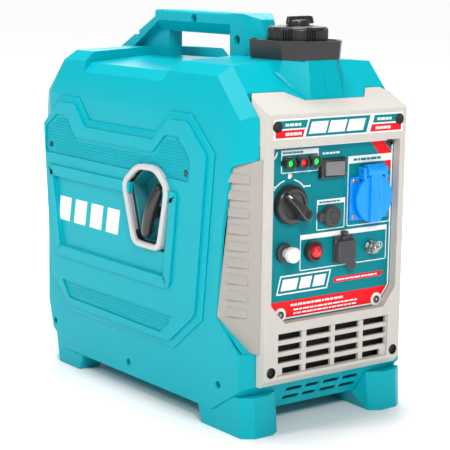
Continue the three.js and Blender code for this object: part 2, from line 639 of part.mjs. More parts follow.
function pushKnobBase() {
  const { x, z, radius } = KNOB;
  return tube(5 + GAP, radius, FACE - 5, FACE, "y", [x, 0, z], SMALL_ROUND).add(
    tube(5 + GAP, radius - 2, FACE - 1, FACE + 10, "y", [x, 0, z], SMALL_ROUND));
}

function pushKnob() {
  const { x, z } = KNOB;
  return turned(
    [[0, FACE - 19], [6.5, FACE - 19], [8, FACE - 17], [8, FACE - 12], [5.8, FACE - 10.5],
      [5.8, FACE - 10], [5, FACE - 10], [5, FACE + 8], [0, FACE + 8]],
    "y", [x, 0, z], SMALL_ROUND);
}

function buttonCollar() {
  const { x, z, radius } = BUTTON;
  return tube(6.6 + GAP, radius, FACE - 6, FACE, "y", [x, 0, z], SMALL_ROUND).add(
    tube(6.6 + GAP, radius - 2, FACE - 1, FACE + 10, "y", [x, 0, z], SMALL_ROUND));
}

function redButton() {
  const { x, z } = BUTTON;
  return turned(
    [[0, FACE - 10.5], [4, FACE - 10], [6, FACE - 8.5], [6.6, FACE - 7], [6.6, FACE + 8], [0, FACE + 8]],
    "y", [x, 0, z], SMALL_ROUND);
}

// AC outlet: a square flange with a deep round well, closed by a flap hinged at its top.
const AC_HINGE = { y: FACE - 9, z: AC.z + 29.5 };
function acFlange() {
  const { x, z, half, half_z: halfZ, radius } = AC;
  const plate = box(x - half, x + half, FACE - 3, FACE, z - halfZ, z + halfZ);
  const ring = rod(radius + 1, FACE - 7, FACE + 16, "y", [x, 0, z]);
  const well = rod(radius - 2, FACE - 12, FACE + 13, "y", [x, 0, z]);
  const lug = (x0, x1) => box(x0, x1, FACE - 12, FACE, z + halfZ - 2, AC_HINGE.z + 3.4);
  const ears = lug(x - 24.5, x - 12.5).add(lug(x + 12.5, x + 24.5));
  const pinHole = rod(1.5 + GAP, x - 30, x + 30, "x", [0, AC_HINGE.y, AC_HINGE.z], SMALL_ROUND);
  return cut(union(plate, ring, ears), well, pinHole);
}

function acFlap() {
  const { x, z, radius } = AC;
  const lid = rod(radius + 1, FACE - 10.5, FACE - 7 - GAP, "y", [x, 0, z]);
  const bar = box(x - 12, x + 12, FACE - 14, FACE - 8, z - 25.5, AC_HINGE.z);
  const knuckle = rod(4.6, x - 12.5 + GAP, x + 12.5 - GAP, "x", [0, AC_HINGE.y, AC_HINGE.z], SMALL_ROUND);
  const pinHole = rod(1.5 + GAP, x - 30, x + 30, "x", [0, AC_HINGE.y, AC_HINGE.z], SMALL_ROUND);
  return union(lid, bar, knuckle).subtract(pinHole);
}

const acHingePin = () => rod(1.5, AC.x - 25, AC.x + 25, "x", [0, AC_HINGE.y, AC_HINGE.z], SMALL_ROUND);

// 12 V outlet under a round cap on a side hinge.
const DC_HINGE_X = DC.x - DC.radius - 3;
function dcSocket() {
  const { x, z, radius } = DC;
  const ring = rod(radius, FACE - 3, FACE, "y", [x, 0, z]).add(
    rod(radius - 2, FACE - 1, FACE + 26, "y", [x, 0, z]));
  const lug = box(DC_HINGE_X - 2.5, x - radius + 2, FACE - 3, FACE, z - 4, z + 4);
  return ring.add(lug).subtract(rod(radius - 4, FACE - 8, FACE + 23, "y", [x, 0, z]));
}

function dcCover() {
  const { x, z, radius } = DC;
  const face = FACE - 3 - GAP;
  const lid = turned(
    [[0, face - 5], [radius - 2, face - 5], [radius, face - 3.5], [radius, face], [0, face]],
    "y", [x, 0, z]);
  return lid.add(box(DC_HINGE_X - 2.5, x - radius + 3, face - 2.5, face, z - 4, z + 4));
}

// USB outlets under a square rubber cover hinged at its top.
const USB_HINGE = { y: FACE - 4.5, z: USB.z + USB.half_z + 2 };
function usbSocket() {
  const { x, z, half, half_z: halfZ } = USB;
  const plate = box(x - half, x + half, FACE - 3, FACE, z - halfZ, z + halfZ + 4);
  const stem = box(x - half + 2, x + half - 2, FACE - 1, FACE + 16, z - halfZ + 2, z + halfZ - 2);
  let body = plate.add(stem);
  for (const side of [-1, 1]) {
    const mid = x + side * 5.5;
    body = body.subtract(box(mid - 2.4, mid + 2.4, FACE - 6, FACE + 12, z - 6.5, z + 6.5));
  }
  return body;
}

function usbCover() {
  const { x, z, half, half_z: halfZ } = USB;
  const face = FACE - 3 - GAP;
  const lid = hull([
    ...[[-half, -halfZ], [half, -halfZ], [half, halfZ - 1], [-half, halfZ - 1]]
      .map(([u, v]) => [x + u, face, z + v]),
    ...[[-half + 1.5, -halfZ + 1.5], [half - 1.5, -halfZ + 1.5], [half - 1.5, halfZ - 2.5],
      [-half + 1.5, halfZ - 2.5]].map(([u, v]) => [x + u, face - 3.5, z + v]),
  ]);
  const strap = box(x - 6, x + 6, face - 2.4, face, z + halfZ - 3, z + halfZ + 4);
  const tab = box(x - 5, x + 5, face - 6, face - 2, z - halfZ + 1, z - halfZ + 4);
  return union(lid, strap, tab);
}

function groundTerminal() {
  const { x, z } = EARTH;
  const at = [x, 0, z];
  return union(
    rod(3, FACE - 13, FACE + 9, "y", at, SMALL_ROUND),
    rod(7, FACE - 1.6, FACE, "y", at, SMALL_ROUND),
    rod(5.8, FACE - 6, FACE - 1, "y", at, 6),
    rod(6.6, FACE - 10.5, FACE - 7, "y", at, SMALL_ROUND),
  );
}

// ---- fuel filler ----
function fuelCollar() {
  const y0 = COLLAR_FRONT_Y;
  const y1 = COLLAR_FRONT_Y + 88;
  const half = COLLAR_HALF_WIDTH;
  const chamfer = 18;
  const outline = (margin) => [
    [-half + chamfer, y0 - margin], [half - chamfer, y0 - margin], [half + margin, y0 + chamfer],
    [half + margin, y1 - chamfer], [half - chamfer, y1 + margin], [-half + chamfer, y1 + margin],
    [-half - margin, y1 - chamfer], [-half - margin, y0 + chamfer],
  ];
  const low = COLLAR_Z + GAP;
  const top = low + COLLAR_HEIGHT;
  const block = hull([
    ...outline(-2).map(([x, y]) => [x, y, low]),
    ...outline(0).map(([x, y]) => [x, y, top]),
  ]);
  const keepOut = box(
    -HANDLE_HALF_WIDTH - GAP, HANDLE_HALF_WIDTH + GAP, HAND_FRONT - 57, y1 + 10, low - 5, top + 5);
  const tray = alongZ(outline(-4), top - 5, top + 5);
  const hole = rod(NECK_RADIUS + 2, low - 5, top + 5, "z", [0, FILLER_Y, 0]);
  return cut(block, tray, hole, keepOut);
}

const CAP_Z = COLLAR_Z + GAP + COLLAR_HEIGHT - 5 + GAP;
function fuelCap() {
  const ribs = 20;
  const outline = Array.from({ length: ribs * 2 }, (_, i) => {
    const angle = (i * Math.PI) / ribs;
    const radius = i % 2 ? CAP_RADIUS - 1.4 : CAP_RADIUS;
    return [radius * Math.cos(angle), FILLER_Y + radius * Math.sin(angle)];
  });
  const skirt = alongZ(outline, CAP_Z, CAP_Z + CAP_HEIGHT - 3);
  const crown = rod(CAP_RADIUS - 3, CAP_Z + 2, CAP_Z + CAP_HEIGHT, "z", [0, FILLER_Y, 0]);
  const space = rod(NECK_RADIUS + GAP, CAP_Z - 5, CAP_Z + CAP_HEIGHT - 5, "z", [0, FILLER_Y, 0]);
  const vent = rod(4 + GAP, CAP_Z, CAP_Z + CAP_HEIGHT + 5, "z", [0, FILLER_Y, 0], SMALL_ROUND);
  return union(skirt, crown).subtract(union(space, vent));
}

const VENT_Z = CAP_Z + CAP_HEIGHT + GAP;
function ventKnob() {
  const disc = rod(12, VENT_Z, VENT_Z + 8, "z", [0, FILLER_Y, 0], SMALL_ROUND);
  const hook = [[-15, -3], [13, -5], [20.5, -2], [20.5, 5.5], [13, 5], [-15, 3]]
    .map(([x, y]) => [x, FILLER_Y + y]);
  const grip = alongZ(hook, VENT_Z + 2, VENT_Z + 10);
  const stem = rod(4, VENT_Z - 4, VENT_Z + 1, "z", [0, FILLER_Y, 0], SMALL_ROUND);
  return union(disc, grip, stem);
}

function fuelTank() {
  const low = DECK_Z - 114;
  const high = DECK_Z - 24;
  const outline = [
    [FRONT + 46, low], [FRONT + 150, low], [FRONT + 150, high], [FRONT + 64, high], [FRONT + 46, high - 20]];
  const half = HALF_WIDTH - 30;
  const neck = rod(NECK_RADIUS - 1, high - 10, CAP_Z + CAP_HEIGHT - 6, "z", [0, FILLER_Y, 0]);
  const inside = alongX(inset(outline, 2.5), -half + 2.5, half - 2.5);
  const bore = rod(NECK_RADIUS - 4, high - 30, CAP_Z + CAP_HEIGHT, "z", [0, FILLER_Y, 0]);
  return cut(alongX(outline, -half, half).add(neck), inside, bore);
}

// ---- feet and floor ----
// Outlines of a foot, [x, y], on the ground and where it meets the casing; the front pair flares inwards.
function footOutlines(atFront) {
  const outer = FOOT_OUTER_X;
  const inner = outer - FOOT_WIDTH;
  if (!atFront) {
    const toe = REAR - 38;
    return [
      [[outer, toe], [inner, toe], [inner, toe - 45], [outer, toe - 45]],
      [[outer, toe + 8], [inner, toe + 8], [inner, toe - 66], [outer, toe - 66]],
    ];
  }
  const toe = FRONT + 6;
  return [
    [[outer, toe + 9], [outer - 12, toe], [inner - 5, toe], [inner - 16, toe + 7], [inner - 14, toe + 54],
      [inner - 10, toe + FOOT_LENGTH], [outer, toe + FOOT_LENGTH]],
    [[outer, toe + 11], [outer - 12, toe + 3], [inner + 1, toe + 3], [inner - 17, toe + 12],
      [inner - 34, toe + 56], [inner - 34, toe + FOOT_LENGTH + 16], [outer, toe + FOOT_LENGTH + 16]],
  ];
}

function foot(side, atFront) {
  const [ground, top] = footOutlines(atFront);
  const block = hull([
    ...ground.map(([x, y]) => [side * x, y, 0]),
    ...top.map(([x, y]) => [side * x, y, BELLY_Z + 22]),
  ]);
  return block.subtract(casingBlock(-GAP));
}

function baseTray() {
  const z0 = BELLY_Z + WALL + GAP;
  const half = HALF_WIDTH - 14;
  const floor = box(-half, half, FRONT + 72, REAR - 66, z0, z0 + 3);
  const rim = box(-half, half, FRONT + 72, REAR - 66, z0, z0 + 12).subtract(
    box(-half + 3, half - 3, FRONT + 75, REAR - 69, z0 - 1, z0 + 20));
  return floor.add(rim);
}

// ---- recoil starter ----
const WELL_FLOOR_X = -HALF_WIDTH + 19;
const RING_WIDTH = 7;
function starterBezel() {
  const outline = inset(starterOutline(), GAP);
  const front = -HALF_WIDTH - GAP - COVER_THICKNESS - COVER_FRAME_RISE - 2;
  return hull([
    ...outline.map(([y, z]) => [front + 6, y, z]),
    ...outline.map(([y, z]) => [-HALF_WIDTH, y, z]),
    ...inset(outline, 2).map(([y, z]) => [front, y, z]),
  ]).subtract(alongX(inset(outline, RING_WIDTH), front - 5, 0));
}

const ROPE_Y = STARTER_Y - 4;
const ROPE_Z = STARTER_Z - 7;
function starterWell() {
  const outline = inset(starterOutline(), 1);
  const body = hull([
    ...outline.map(([y, z]) => [-HALF_WIDTH + GAP, y, z]),
    ...inset(outline, 6).map(([y, z]) => [WELL_FLOOR_X, y, z]),
  ]);
  const space = hull([
    ...inset(outline, RING_WIDTH).map(([y, z]) => [-HALF_WIDTH - 1, y, z]),
    ...inset(outline, RING_WIDTH + 4).map(([y, z]) => [WELL_FLOOR_X - 2.5, y, z]),
  ]);
  const at = [0, ROPE_Y, ROPE_Z];
  const eye = rod(ROPE_RADIUS + 0.6, WELL_FLOOR_X - 20, WELL_FLOOR_X + 10, "x", at, SMALL_ROUND);
  const guide = rod(9, WELL_FLOOR_X - 9, WELL_FLOOR_X - 1, "x", at, SMALL_ROUND);
  return body.subtract(space).add(guide).subtract(eye);
}

// A curved T grip: a bent bar with a stem that the rope is knotted into.
const STEM_X = WELL_FLOOR_X - 9 - GAP;
function starterGrip() {
  const path = new THREE.QuadraticBezierCurve3(
    new THREE.Vector3(-HALF_WIDTH - 4.5, STARTER_Y + 5, STARTER_Z - 34),
    new THREE.Vector3(-HALF_WIDTH - 9, STARTER_Y - 4, STARTER_Z - 4),
    new THREE.Vector3(-HALF_WIDTH + 1, STARTER_Y - 16, STARTER_Z + 24));
  const section = new THREE.Shape(circle(1, [0, 0], 8).map(([u, v]) => new THREE.Vector2(u * 6.5, v * 8)));
  const bar = solid(new THREE.ExtrudeGeometry(section, { extrudePath: path, steps: 8, bevelEnabled: false }));
  const stem = hull([
    ...circle(7.5, [ROPE_Y, ROPE_Z], 10).map(([y, z]) => [STEM_X, y, z]),
    ...circle(9, [ROPE_Y, ROPE_Z], 10).map(([y, z]) => [-HALF_WIDTH - 3, y, z]),
  ]);
  const socket = rod(ROPE_RADIUS + GAP, STEM_X - 6, STEM_X + 5, "x", [0, ROPE_Y, ROPE_Z], SMALL_ROUND);
  return bar.add(stem).subtract(socket);
}

const PULLEY_X = -84;
const starterRope = () =>
  rod(ROPE_RADIUS, STEM_X - 6 + GAP, PULLEY_X + 3, "x", [0, ROPE_Y, ROPE_Z], SMALL_ROUND);

const AXLE = [0, CRANK_Y, CRANK_Z];
function starterPulley() {
  const x = PULLEY_X;
  return turned(
    [[SHAFT_RADIUS + GAP, x - 3.5], [PULLEY_RADIUS, x - 3.5], [PULLEY_RADIUS - 5, x],
      [PULLEY_RADIUS, x + 3.5], [SHAFT_RADIUS + GAP, x + 3.5], [SHAFT_RADIUS + GAP, x - 3.5]],
    "x", AXLE);
}

const SHROUD_RADIUS = 69;
function fanShroud() {
  const front = PULLEY_X - 7;
  const ring = turned(
    [[SHAFT_RADIUS + 4, front], [SHROUD_RADIUS + 3, front], [SHROUD_RADIUS + 3, ENGINE_X - GAP],
      [SHROUD_RADIUS, ENGINE_X - GAP], [SHROUD_RADIUS, front + 2.5], [SHAFT_RADIUS + 4, front + 2.5],
      [SHAFT_RADIUS + 4, front]],
    "x", AXLE);
  return ring.subtract(rod(ROPE_RADIUS + 1, front - 5, front + 5, "x", [0, ROPE_Y, ROPE_Z], SMALL_ROUND));
}

// ---- alternator and engine ----
const ENGINE_X = -20; // left face of the crankcase
const ENGINE_WIDTH = 80;
const STATOR_RADIUS = 46;

function coolingFan() {
  const blades = 12;
  const outline = Array.from({ length: blades * 2 }, (_, i) => {
    const angle = (i * Math.PI) / blades;
    const radius = i % 2 ? 34 : 62;
    const lag = i % 2 ? 0 : 0.16;
    return [CRANK_Y + radius * Math.cos(angle + lag), CRANK_Z + radius * Math.sin(angle + lag)];
  });
  return alongX(outline, -77, -68).subtract(rod(SHAFT_RADIUS + GAP, -90, -50, "x", AXLE));
}

function rotor() {
  const x0 = -67.5;
  const x1 = ENGINE_X - 8;
  return turned(
    [[SHAFT_RADIUS + GAP, x0], [STATOR_RADIUS + 10, x0], [STATOR_RADIUS + 10, x1], [STATOR_RADIUS + 2, x1],
      [STATOR_RADIUS + 2, x0 + 4], [SHAFT_RADIUS + GAP, x0 + 4], [SHAFT_RADIUS + GAP, x0]],
    "x", AXLE);
}

function stator() {
  const poles = 12;
  const outline = Array.from({ length: poles * 4 }, (_, i) => {
    const angle = ((i + 0.5) * Math.PI) / (poles * 2);
    const radius = i % 4 < 2 ? STATOR_RADIUS : STATOR_RADIUS - 9;
    return [CRANK_Y + radius * Math.cos(angle), CRANK_Z + radius * Math.sin(angle)];
  });
  const core = alongX(outline, -60, ENGINE_X - 5);
  const hub = rod(24, ENGINE_X - 10, ENGINE_X - GAP, "x", AXLE);
  return core.add(hub).subtract(rod(SHAFT_RADIUS + 3, -80, 0, "x", AXLE));
}

function crankcase() {
  const low = MOUNT_TOP_Z + GAP;
  const outline = [
    [CRANK_Y - 58, low], [CRANK_Y + 58, low], [CRANK_Y + 58, low + 14], [CRANK_Y + 46, CRANK_Z - 50],
    [CRANK_Y + 50, CRANK_Z + 24], [CRANK_Y + 36, CRANK_Z + 46], [CRANK_Y - 36, CRANK_Z + 46],
    [CRANK_Y - 50, CRANK_Z + 24], [CRANK_Y - 46, CRANK_Z - 50], [CRANK_Y - 58, low + 14]];
  const body = alongX(outline, ENGINE_X, ENGINE_X + ENGINE_WIDTH);
  const bore = rod(SHAFT_RADIUS + GAP, ENGINE_X - 5, ENGINE_X + ENGINE_WIDTH + 5, "x", AXLE);
  const chamber = rod(34, ENGINE_X + 10, ENGINE_X + ENGINE_WIDTH - 10, "x", AXLE);
  return cut(body, bore, chamber, oilNeckHole(9));
}

const OIL_CAP = { x: ENGINE_X + 60, y: CRANK_Y - 51, z: CRANK_Z - 66 };
const oilNeckHole = (radius) =>
  rod(radius, OIL_CAP.y - 20, OIL_CAP.y + 24, "y", [OIL_CAP.x, 0, OIL_CAP.z], SMALL_ROUND);

function oilCap() {
  const { x, y, z } = OIL_CAP;
  return union(
    rod(14, y - 18, y - 8.5, "y", [x, 0, z], SMALL_ROUND),
    rod(8.5, y - 10, y + 18, "y", [x, 0, z], SMALL_ROUND),
    box(x - 2.5, x + 2.5, y - 24, y - 17, z - 11, z + 11),
  );
}

function crankshaft() {
  const r = SHAFT_RADIUS;
  const left = ENGINE_X + 12;
  const right = ENGINE_X + ENGINE_WIDTH - 12;
  const web = 30;
  return turned(
    [[0, PULLEY_X - 4], [r, PULLEY_X - 4], [r, left], [web, left], [web, left + 14], [r + 4, left + 14],
      [r + 4, right - 14], [web, right - 14], [web, right], [r, right], [r, ENGINE_X + ENGINE_WIDTH + 4],
      [0, ENGINE_X + ENGINE_WIDTH + 4]],
    "x", AXLE);
}

// Cylinder and head, leaning back; the fins are run along X.
const CYLINDER_LEAN = THREE.MathUtils.degToRad(-15);
function cylinderBlock() {
  const fins = 9;
  const pitch = 8;
  const half = 33;
  const points = [];
  for (let i = 0; i < fins; i += 1) {
    const z = 4 + i * pitch;
    points.push([half - 7, z], [half, z], [half, z + 2.6], [half - 7, z + 2.6]);
  }
  const top = 4 + fins * pitch;
  const left = [...points].reverse().map(([u, v]) => [-u, v]);
  const outline = [[half - 7, 0], ...points, [half - 7, top], [-half + 7, top], ...left, [-half + 7, 0]];
  return alongX(outline, ENGINE_X + 6, ENGINE_X + ENGINE_WIDTH - 6);
}

const CYLINDER_FOOT = [0, CRANK_Y + 6, CRANK_Z + 46 + GAP + 8];
function sparkPlug() {
  const mid = ENGINE_X + ENGINE_WIDTH / 2;
  const base = 4 + 9 * 8 + GAP;
  return turned([[0, base], [8, base], [8, base + 4], [5, base + 4], [5, base + 13], [0, base + 13]],
    "z", [mid, 0, 0], SMALL_ROUND);
}

function ignitionCoil() {
  const z = CRANK_Z + SHROUD_RADIUS + 3 + GAP;
  return union(
    box(-60, -30, CRANK_Y - 14, CRANK_Y + 14, z, z + 10),
    box(-54, -36, CRANK_Y - 9, CRANK_Y + 9, z + 8, z + 26),
  );
}

const CARB = { x: -44, z: 246, radius: 14 };
const AIRBOX = { x0: -HALF_WIDTH + 12, x1: -28, y0: REAR - 108, y1: REAR - 38, z0: 150, z1: 262 };
function airFilterBox() {
  const { x0, x1, y0, y1, z0, z1 } = AIRBOX;
  const c = 12;
  const outline = [[y0, z0], [y1, z0], [y1, z1 - c], [y1 - c, z1], [y0 + c, z1], [y0, z1 - c]];
  const port = rod(CARB.radius - 5, y0 - 5, y0 + 10, "y", [CARB.x, 0, CARB.z - 8], SMALL_ROUND);
  return cut(alongX(outline, x0, x1), alongX(inset(outline, 3), x0 + 3, x1 - 3), port);
}

function carburettor() {
  const y = AIRBOX.y0 - GAP;
  return union(
    rod(CARB.radius, y - 26, y, "y", [CARB.x, 0, CARB.z - 8], SMALL_ROUND),
    rod(CARB.radius - 3, CARB.z - 36, CARB.z - 12, "z", [CARB.x, y - 13, 0], SMALL_ROUND),
  );
}

const MUFFLER = { x0: 6, x1: HALF_WIDTH - 18, y0: REAR - 100, y1: REAR - 34, z0: 118, z1: 262 };
function muffler() {
  const { x0, x1, y0, y1, z0, z1 } = MUFFLER;
  const c = 14;
  const outline = [[x0 + c, y0], [x1 - c, y0], [x1, y0 + c], [x1, y1 - c], [x1 - c, y1], [x0 + c, y1],
    [x0, y1 - c], [x0, y0 + c]];
  const port = rod(EXHAUST.bore, y1 - 10, y1 + 5, "y", [EXHAUST.x, 0, EXHAUST.z], SMALL_ROUND);
  return cut(alongZ(outline, z0, z1), alongZ(inset(outline, 2.5), z0 + 2.5, z1 - 2.5), port);
}

const exhaustOutlet = () =>
  tube(EXHAUST.bore, EXHAUST.radius, MUFFLER.y1 + GAP, REAR + 4.5, "y", [EXHAUST.x, 0, EXHAUST.z]);

function inverterModule() {
  const half = HALF_WIDTH - 45;
  const [y0, y1] = [FRONT + 42, FRONT + 78];
  const fins = 8;
  const points = [];
  for (let i = 0; i < fins; i += 1) {
    const x = -half + 4 + (i * (2 * half - 12)) / (fins - 1);
    points.push([x, y0 + 12], [x, y0], [x + 4, y0], [x + 4, y0 + 12]);
  }
  return alongZ([[-half, y1], [-half, y0 + 12], ...points, [half, y0 + 12], [half, y1]].reverse(), 62, 108);
}

const MOUNT_Z = BELLY_Z + WALL + GAP * 2 + 3;
const MOUNT_TOP_Z = MOUNT_Z + 24;
function engineMount(side, end) {
  const x = ENGINE_X + ENGINE_WIDTH / 2 + side * 30;
  return turned(
    [[0, MOUNT_Z], [12, MOUNT_Z], [9, (MOUNT_Z + MOUNT_TOP_Z) / 2], [12, MOUNT_TOP_Z], [0, MOUNT_TOP_Z]],
    "z", [x, CRANK_Y + end * 44, 0], SMALL_ROUND);
}

// ---- build ----
const shells = casing();
const farSide = HALF_WIDTH * 2;
const half = (side) => {
  const reach = [side * GAP * 0.5, side * farSide].sort((a, b) => a - b);
  return shells.intersect(box(...reach, FRONT - 50, REAR + 50, -10, HANDLE_TOP_Z + 50));
};
add("left_shell", half(-1), "casing");
add("right_shell", half(1), "casing");
add("base_tray", baseTray(), "black");
add("front_bezel", frontBezel(), "bezel");
add("control_panel", controlPanel(), "panel");
add("left_louvre_panel", louvrePanel(-1), "louvre");
add("right_louvre_panel", louvrePanel(1), "louvre");
add("left_service_cover", serviceCover().subtract(alongX(starterOutline(), -farSide, 0)), "casing");
add("right_service_cover", mirrorX(serviceCover()), "casing");
add("rear_cover", rearCover(), "black");
add("foot_front_left", foot(-1, true), "casing");
add("foot_front_right", foot(1, true), "casing");
add("foot_rear_left", foot(-1, false), "casing");
add("foot_rear_right", foot(1, false), "casing");

add("fuel_collar", fuelCollar(), "black");
add("fuel_cap", fuelCap(), "black");
add("vent_knob", ventKnob(), "black");
add("fuel_tank", fuelTank(), "tank");

LAMPS.forEach((place, i) => add(`status_lamp_${i + 1}`, statusLamp(place), i === 1 ? "red" : "green"));
add("rocker_housing", rockerHousing(), "black");
add("rocker_switch", rockerSwitch(), "grey");
add("engine_dial", engineDial(), "black");
add("push_knob_base", pushKnobBase(), "black");
add("push_knob", pushKnob(), "white");
add("button_collar", buttonCollar(), "black");
add("red_button", redButton(), "red");
add("ac_flange", acFlange(), "blue");
add("ac_flap", acFlap(), "blue");
add("ac_hinge_pin", acHingePin(), "steel");
add("dc_socket", dcSocket(), "rubber");
add("dc_cover", dcCover(), "rubber");
add("usb_socket", usbSocket(), "rubber");
add("usb_cover", usbCover(), "rubber");
add("ground_terminal", groundTerminal(), "steel");

add("starter_bezel", starterBezel(), "silver");
add("starter_well", starterWell(), "panel");
add("starter_grip", starterGrip(), "black");
add("starter_rope", starterRope(), "rope");
add("starter_pulley", starterPulley(), "black");
add("fan_shroud", fanShroud(), "black");
add("cooling_fan", coolingFan(), "black");
add("rotor", rotor(), "steel");
add("stator", stator(), "steel");
add("ignition_coil", ignitionCoil(), "black");
add("crankcase", crankcase(), "aluminium");
add("crankshaft", crankshaft(), "steel");
add("oil_cap", oilCap(), "black");
const leaning = { at: CYLINDER_FOOT, turn: [CYLINDER_LEAN, 0, 0] };
add("cylinder_block", cylinderBlock(), "aluminium", leaning);
add("spark_plug", sparkPlug(), "white", leaning);
add("carburettor", carburettor(), "aluminium");
add("air_filter_box", airFilterBox(), "black");
add("muffler", muffler(), "steel");
add("exhaust_outlet", exhaustOutlet(), "steel");
add("inverter_module", inverterModule(), "aluminium");
let mounts = 0;
for (const side of [-1, 1]) {
  for (const end of [-1, 1]) add(`engine_mount_${(mounts += 1)}`, engineMount(side, end), "rubber");
}

export default generator;
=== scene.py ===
"""Looks of the portable inverter generator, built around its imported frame.

Metres. +X is to the right of someone who faces the control panel, which looks towards -Y.
"""
import json
import math

import bmesh
import bpy
from mathutils import Matrix, Vector


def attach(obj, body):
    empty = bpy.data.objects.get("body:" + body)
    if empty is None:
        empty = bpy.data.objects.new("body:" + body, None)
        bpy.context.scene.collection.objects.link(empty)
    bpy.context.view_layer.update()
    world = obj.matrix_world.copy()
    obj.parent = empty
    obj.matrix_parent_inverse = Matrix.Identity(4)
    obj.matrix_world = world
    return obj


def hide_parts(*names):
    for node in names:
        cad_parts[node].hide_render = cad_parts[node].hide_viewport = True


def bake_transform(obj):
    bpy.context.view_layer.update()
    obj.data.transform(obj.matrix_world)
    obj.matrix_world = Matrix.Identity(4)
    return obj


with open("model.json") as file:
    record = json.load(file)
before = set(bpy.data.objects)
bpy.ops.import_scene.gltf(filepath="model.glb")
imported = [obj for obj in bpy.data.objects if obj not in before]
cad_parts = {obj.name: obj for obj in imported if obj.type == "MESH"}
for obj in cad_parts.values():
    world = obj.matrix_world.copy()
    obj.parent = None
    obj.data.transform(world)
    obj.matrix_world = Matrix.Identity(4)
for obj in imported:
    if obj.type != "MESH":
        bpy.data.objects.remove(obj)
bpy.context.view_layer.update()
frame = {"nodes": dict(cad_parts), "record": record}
MM = 0.001


# ---------------------------------------------------------------- camera, light and floor
def make_camera():
    """A long lens, low and to the left of the control panel."""
    azimuth, elevation, roll = map(math.radians, (-37.20, 10.11, 0.82))
    flat = math.cos(elevation)
    back = Vector((math.sin(azimuth) * flat, -math.cos(azimuth) * flat, math.sin(elevation)))
    right = Vector((0, 0, 1)).cross(back).normalized()
    up = back.cross(right)
    turned_right = right * math.cos(roll) + up * math.sin(roll)
    turned_up = up * math.cos(roll) - right * math.sin(roll)
    data = bpy.data.cameras.new("camera")
    data.sensor_width = 36
    data.lens = 114.77
    camera = bpy.data.objects.new("camera", data)
    bpy.context.scene.collection.objects.link(camera)
    turn = Matrix((turned_right, turned_up, back)).transposed()
    camera.matrix_world = Matrix.Translation((-0.96193, -1.27747, 0.46621)) @ turn.to_4x4()
    bpy.context.scene.camera = camera


def make_light(name, place, target, size, power):
    """A rectangular lamp that faces its target."""
    data = bpy.data.lights.new(name, "AREA")
    data.shape = "RECTANGLE"
    data.size, data.size_y = size
    data.energy = power
    light = bpy.data.objects.new(name, data)
    light.location = place
    light.rotation_mode = "QUATERNION"
    light.rotation_quaternion = (Vector(place) - Vector(target)).to_track_quat("Z", "Y")
    bpy.context.scene.collection.objects.link(light)


def make_studio():
    """Four soft lamps and a pale sky."""
    middle = (0, 0, 0.2)
    make_light("key_light", (-1.2, -2.4, 1.9), middle, (0.6, 0.6), 52)
    make_light("side_light", (-2.4, 0.2, 2.0), middle, (0.5, 0.7), 24)
    make_light("top_light", (0.1, 0.3, 2.6), middle, (1.2, 1.2), 60)
    make_light("back_light", (1.6, 2.2, 1.5), middle, (1.4, 1.4), 16)
    world = bpy.data.worlds.new("studio")
    world.use_nodes = True
    sky = world.node_tree.nodes["Background"]
    sky.inputs["Color"].default_value = (1, 1, 1, 1)
    sky.inputs["Strength"].default_value = 0.24
    bpy.context.scene.world = world
    bpy.context.scene.view_settings.view_transform = "Standard"


# ---------------------------------------------------------------- node trees
class Wire:
    """A value that flows out of a node, so that sums on it can be written plainly."""

    def __init__(self, tree, socket):
        self.tree, self.socket = tree, socket

    def math(self, operation, *others):
        return self.tree.node("ShaderNodeMath", {"operation": operation}, dict(enumerate((self, *others))))

    def __add__(self, other):
        return self.math("ADD", other)

    def __sub__(self, other):
        return self.math("SUBTRACT", other)

    def __mul__(self, other):
        return self.math("MULTIPLY", other)


class Tree:
    """A node tree under construction."""

    def __init__(self, nodes):
        self.nodes = nodes

    def node(self, kind, settings=None, values=None, output=0):
        """Adds one node: its settings first, then the values or wires of its sockets."""
        made = self.nodes.nodes.new(kind)
        for name, value in (settings or {}).items():
            if name == "stops":
                self.set_stops(made.color_ramp, value)
            else:
                setattr(made, name, value)
        for name, value in (values or {}).items():
            if isinstance(value, Wire):
                self.nodes.links.new(value.socket, made.inputs[name])
            else:
                made.inputs[name].default_value = value
        return Wire(self, made.outputs[output]) if made.outputs else None

    @staticmethod
    def set_stops(ramp, stops):
        while len(ramp.elements) < len(stops):
            ramp.elements.new(0.5)
        for element, (position, grey) in zip(ramp.elements, stops):
            element.position = position
            element.color = (grey, grey, grey, 1)


def linear(red, green, blue):
    """A screen colour, 0 to 255, as a linear colour."""
    part = lambda v: v / 12.92 if v <= 0.04045 else ((v + 0.055) / 1.055) ** 2.4
    return tuple(part(v / 255) for v in (red, green, blue)) + (1,)


def shaded(name):
    material = bpy.data.materials.new(name)
    material.use_nodes = True
    material.node_tree.nodes.clear()
    return material, Tree(material.node_tree)


def close_material(tree, surface):
    tree.node("ShaderNodeOutputMaterial", None, {"Surface": surface})


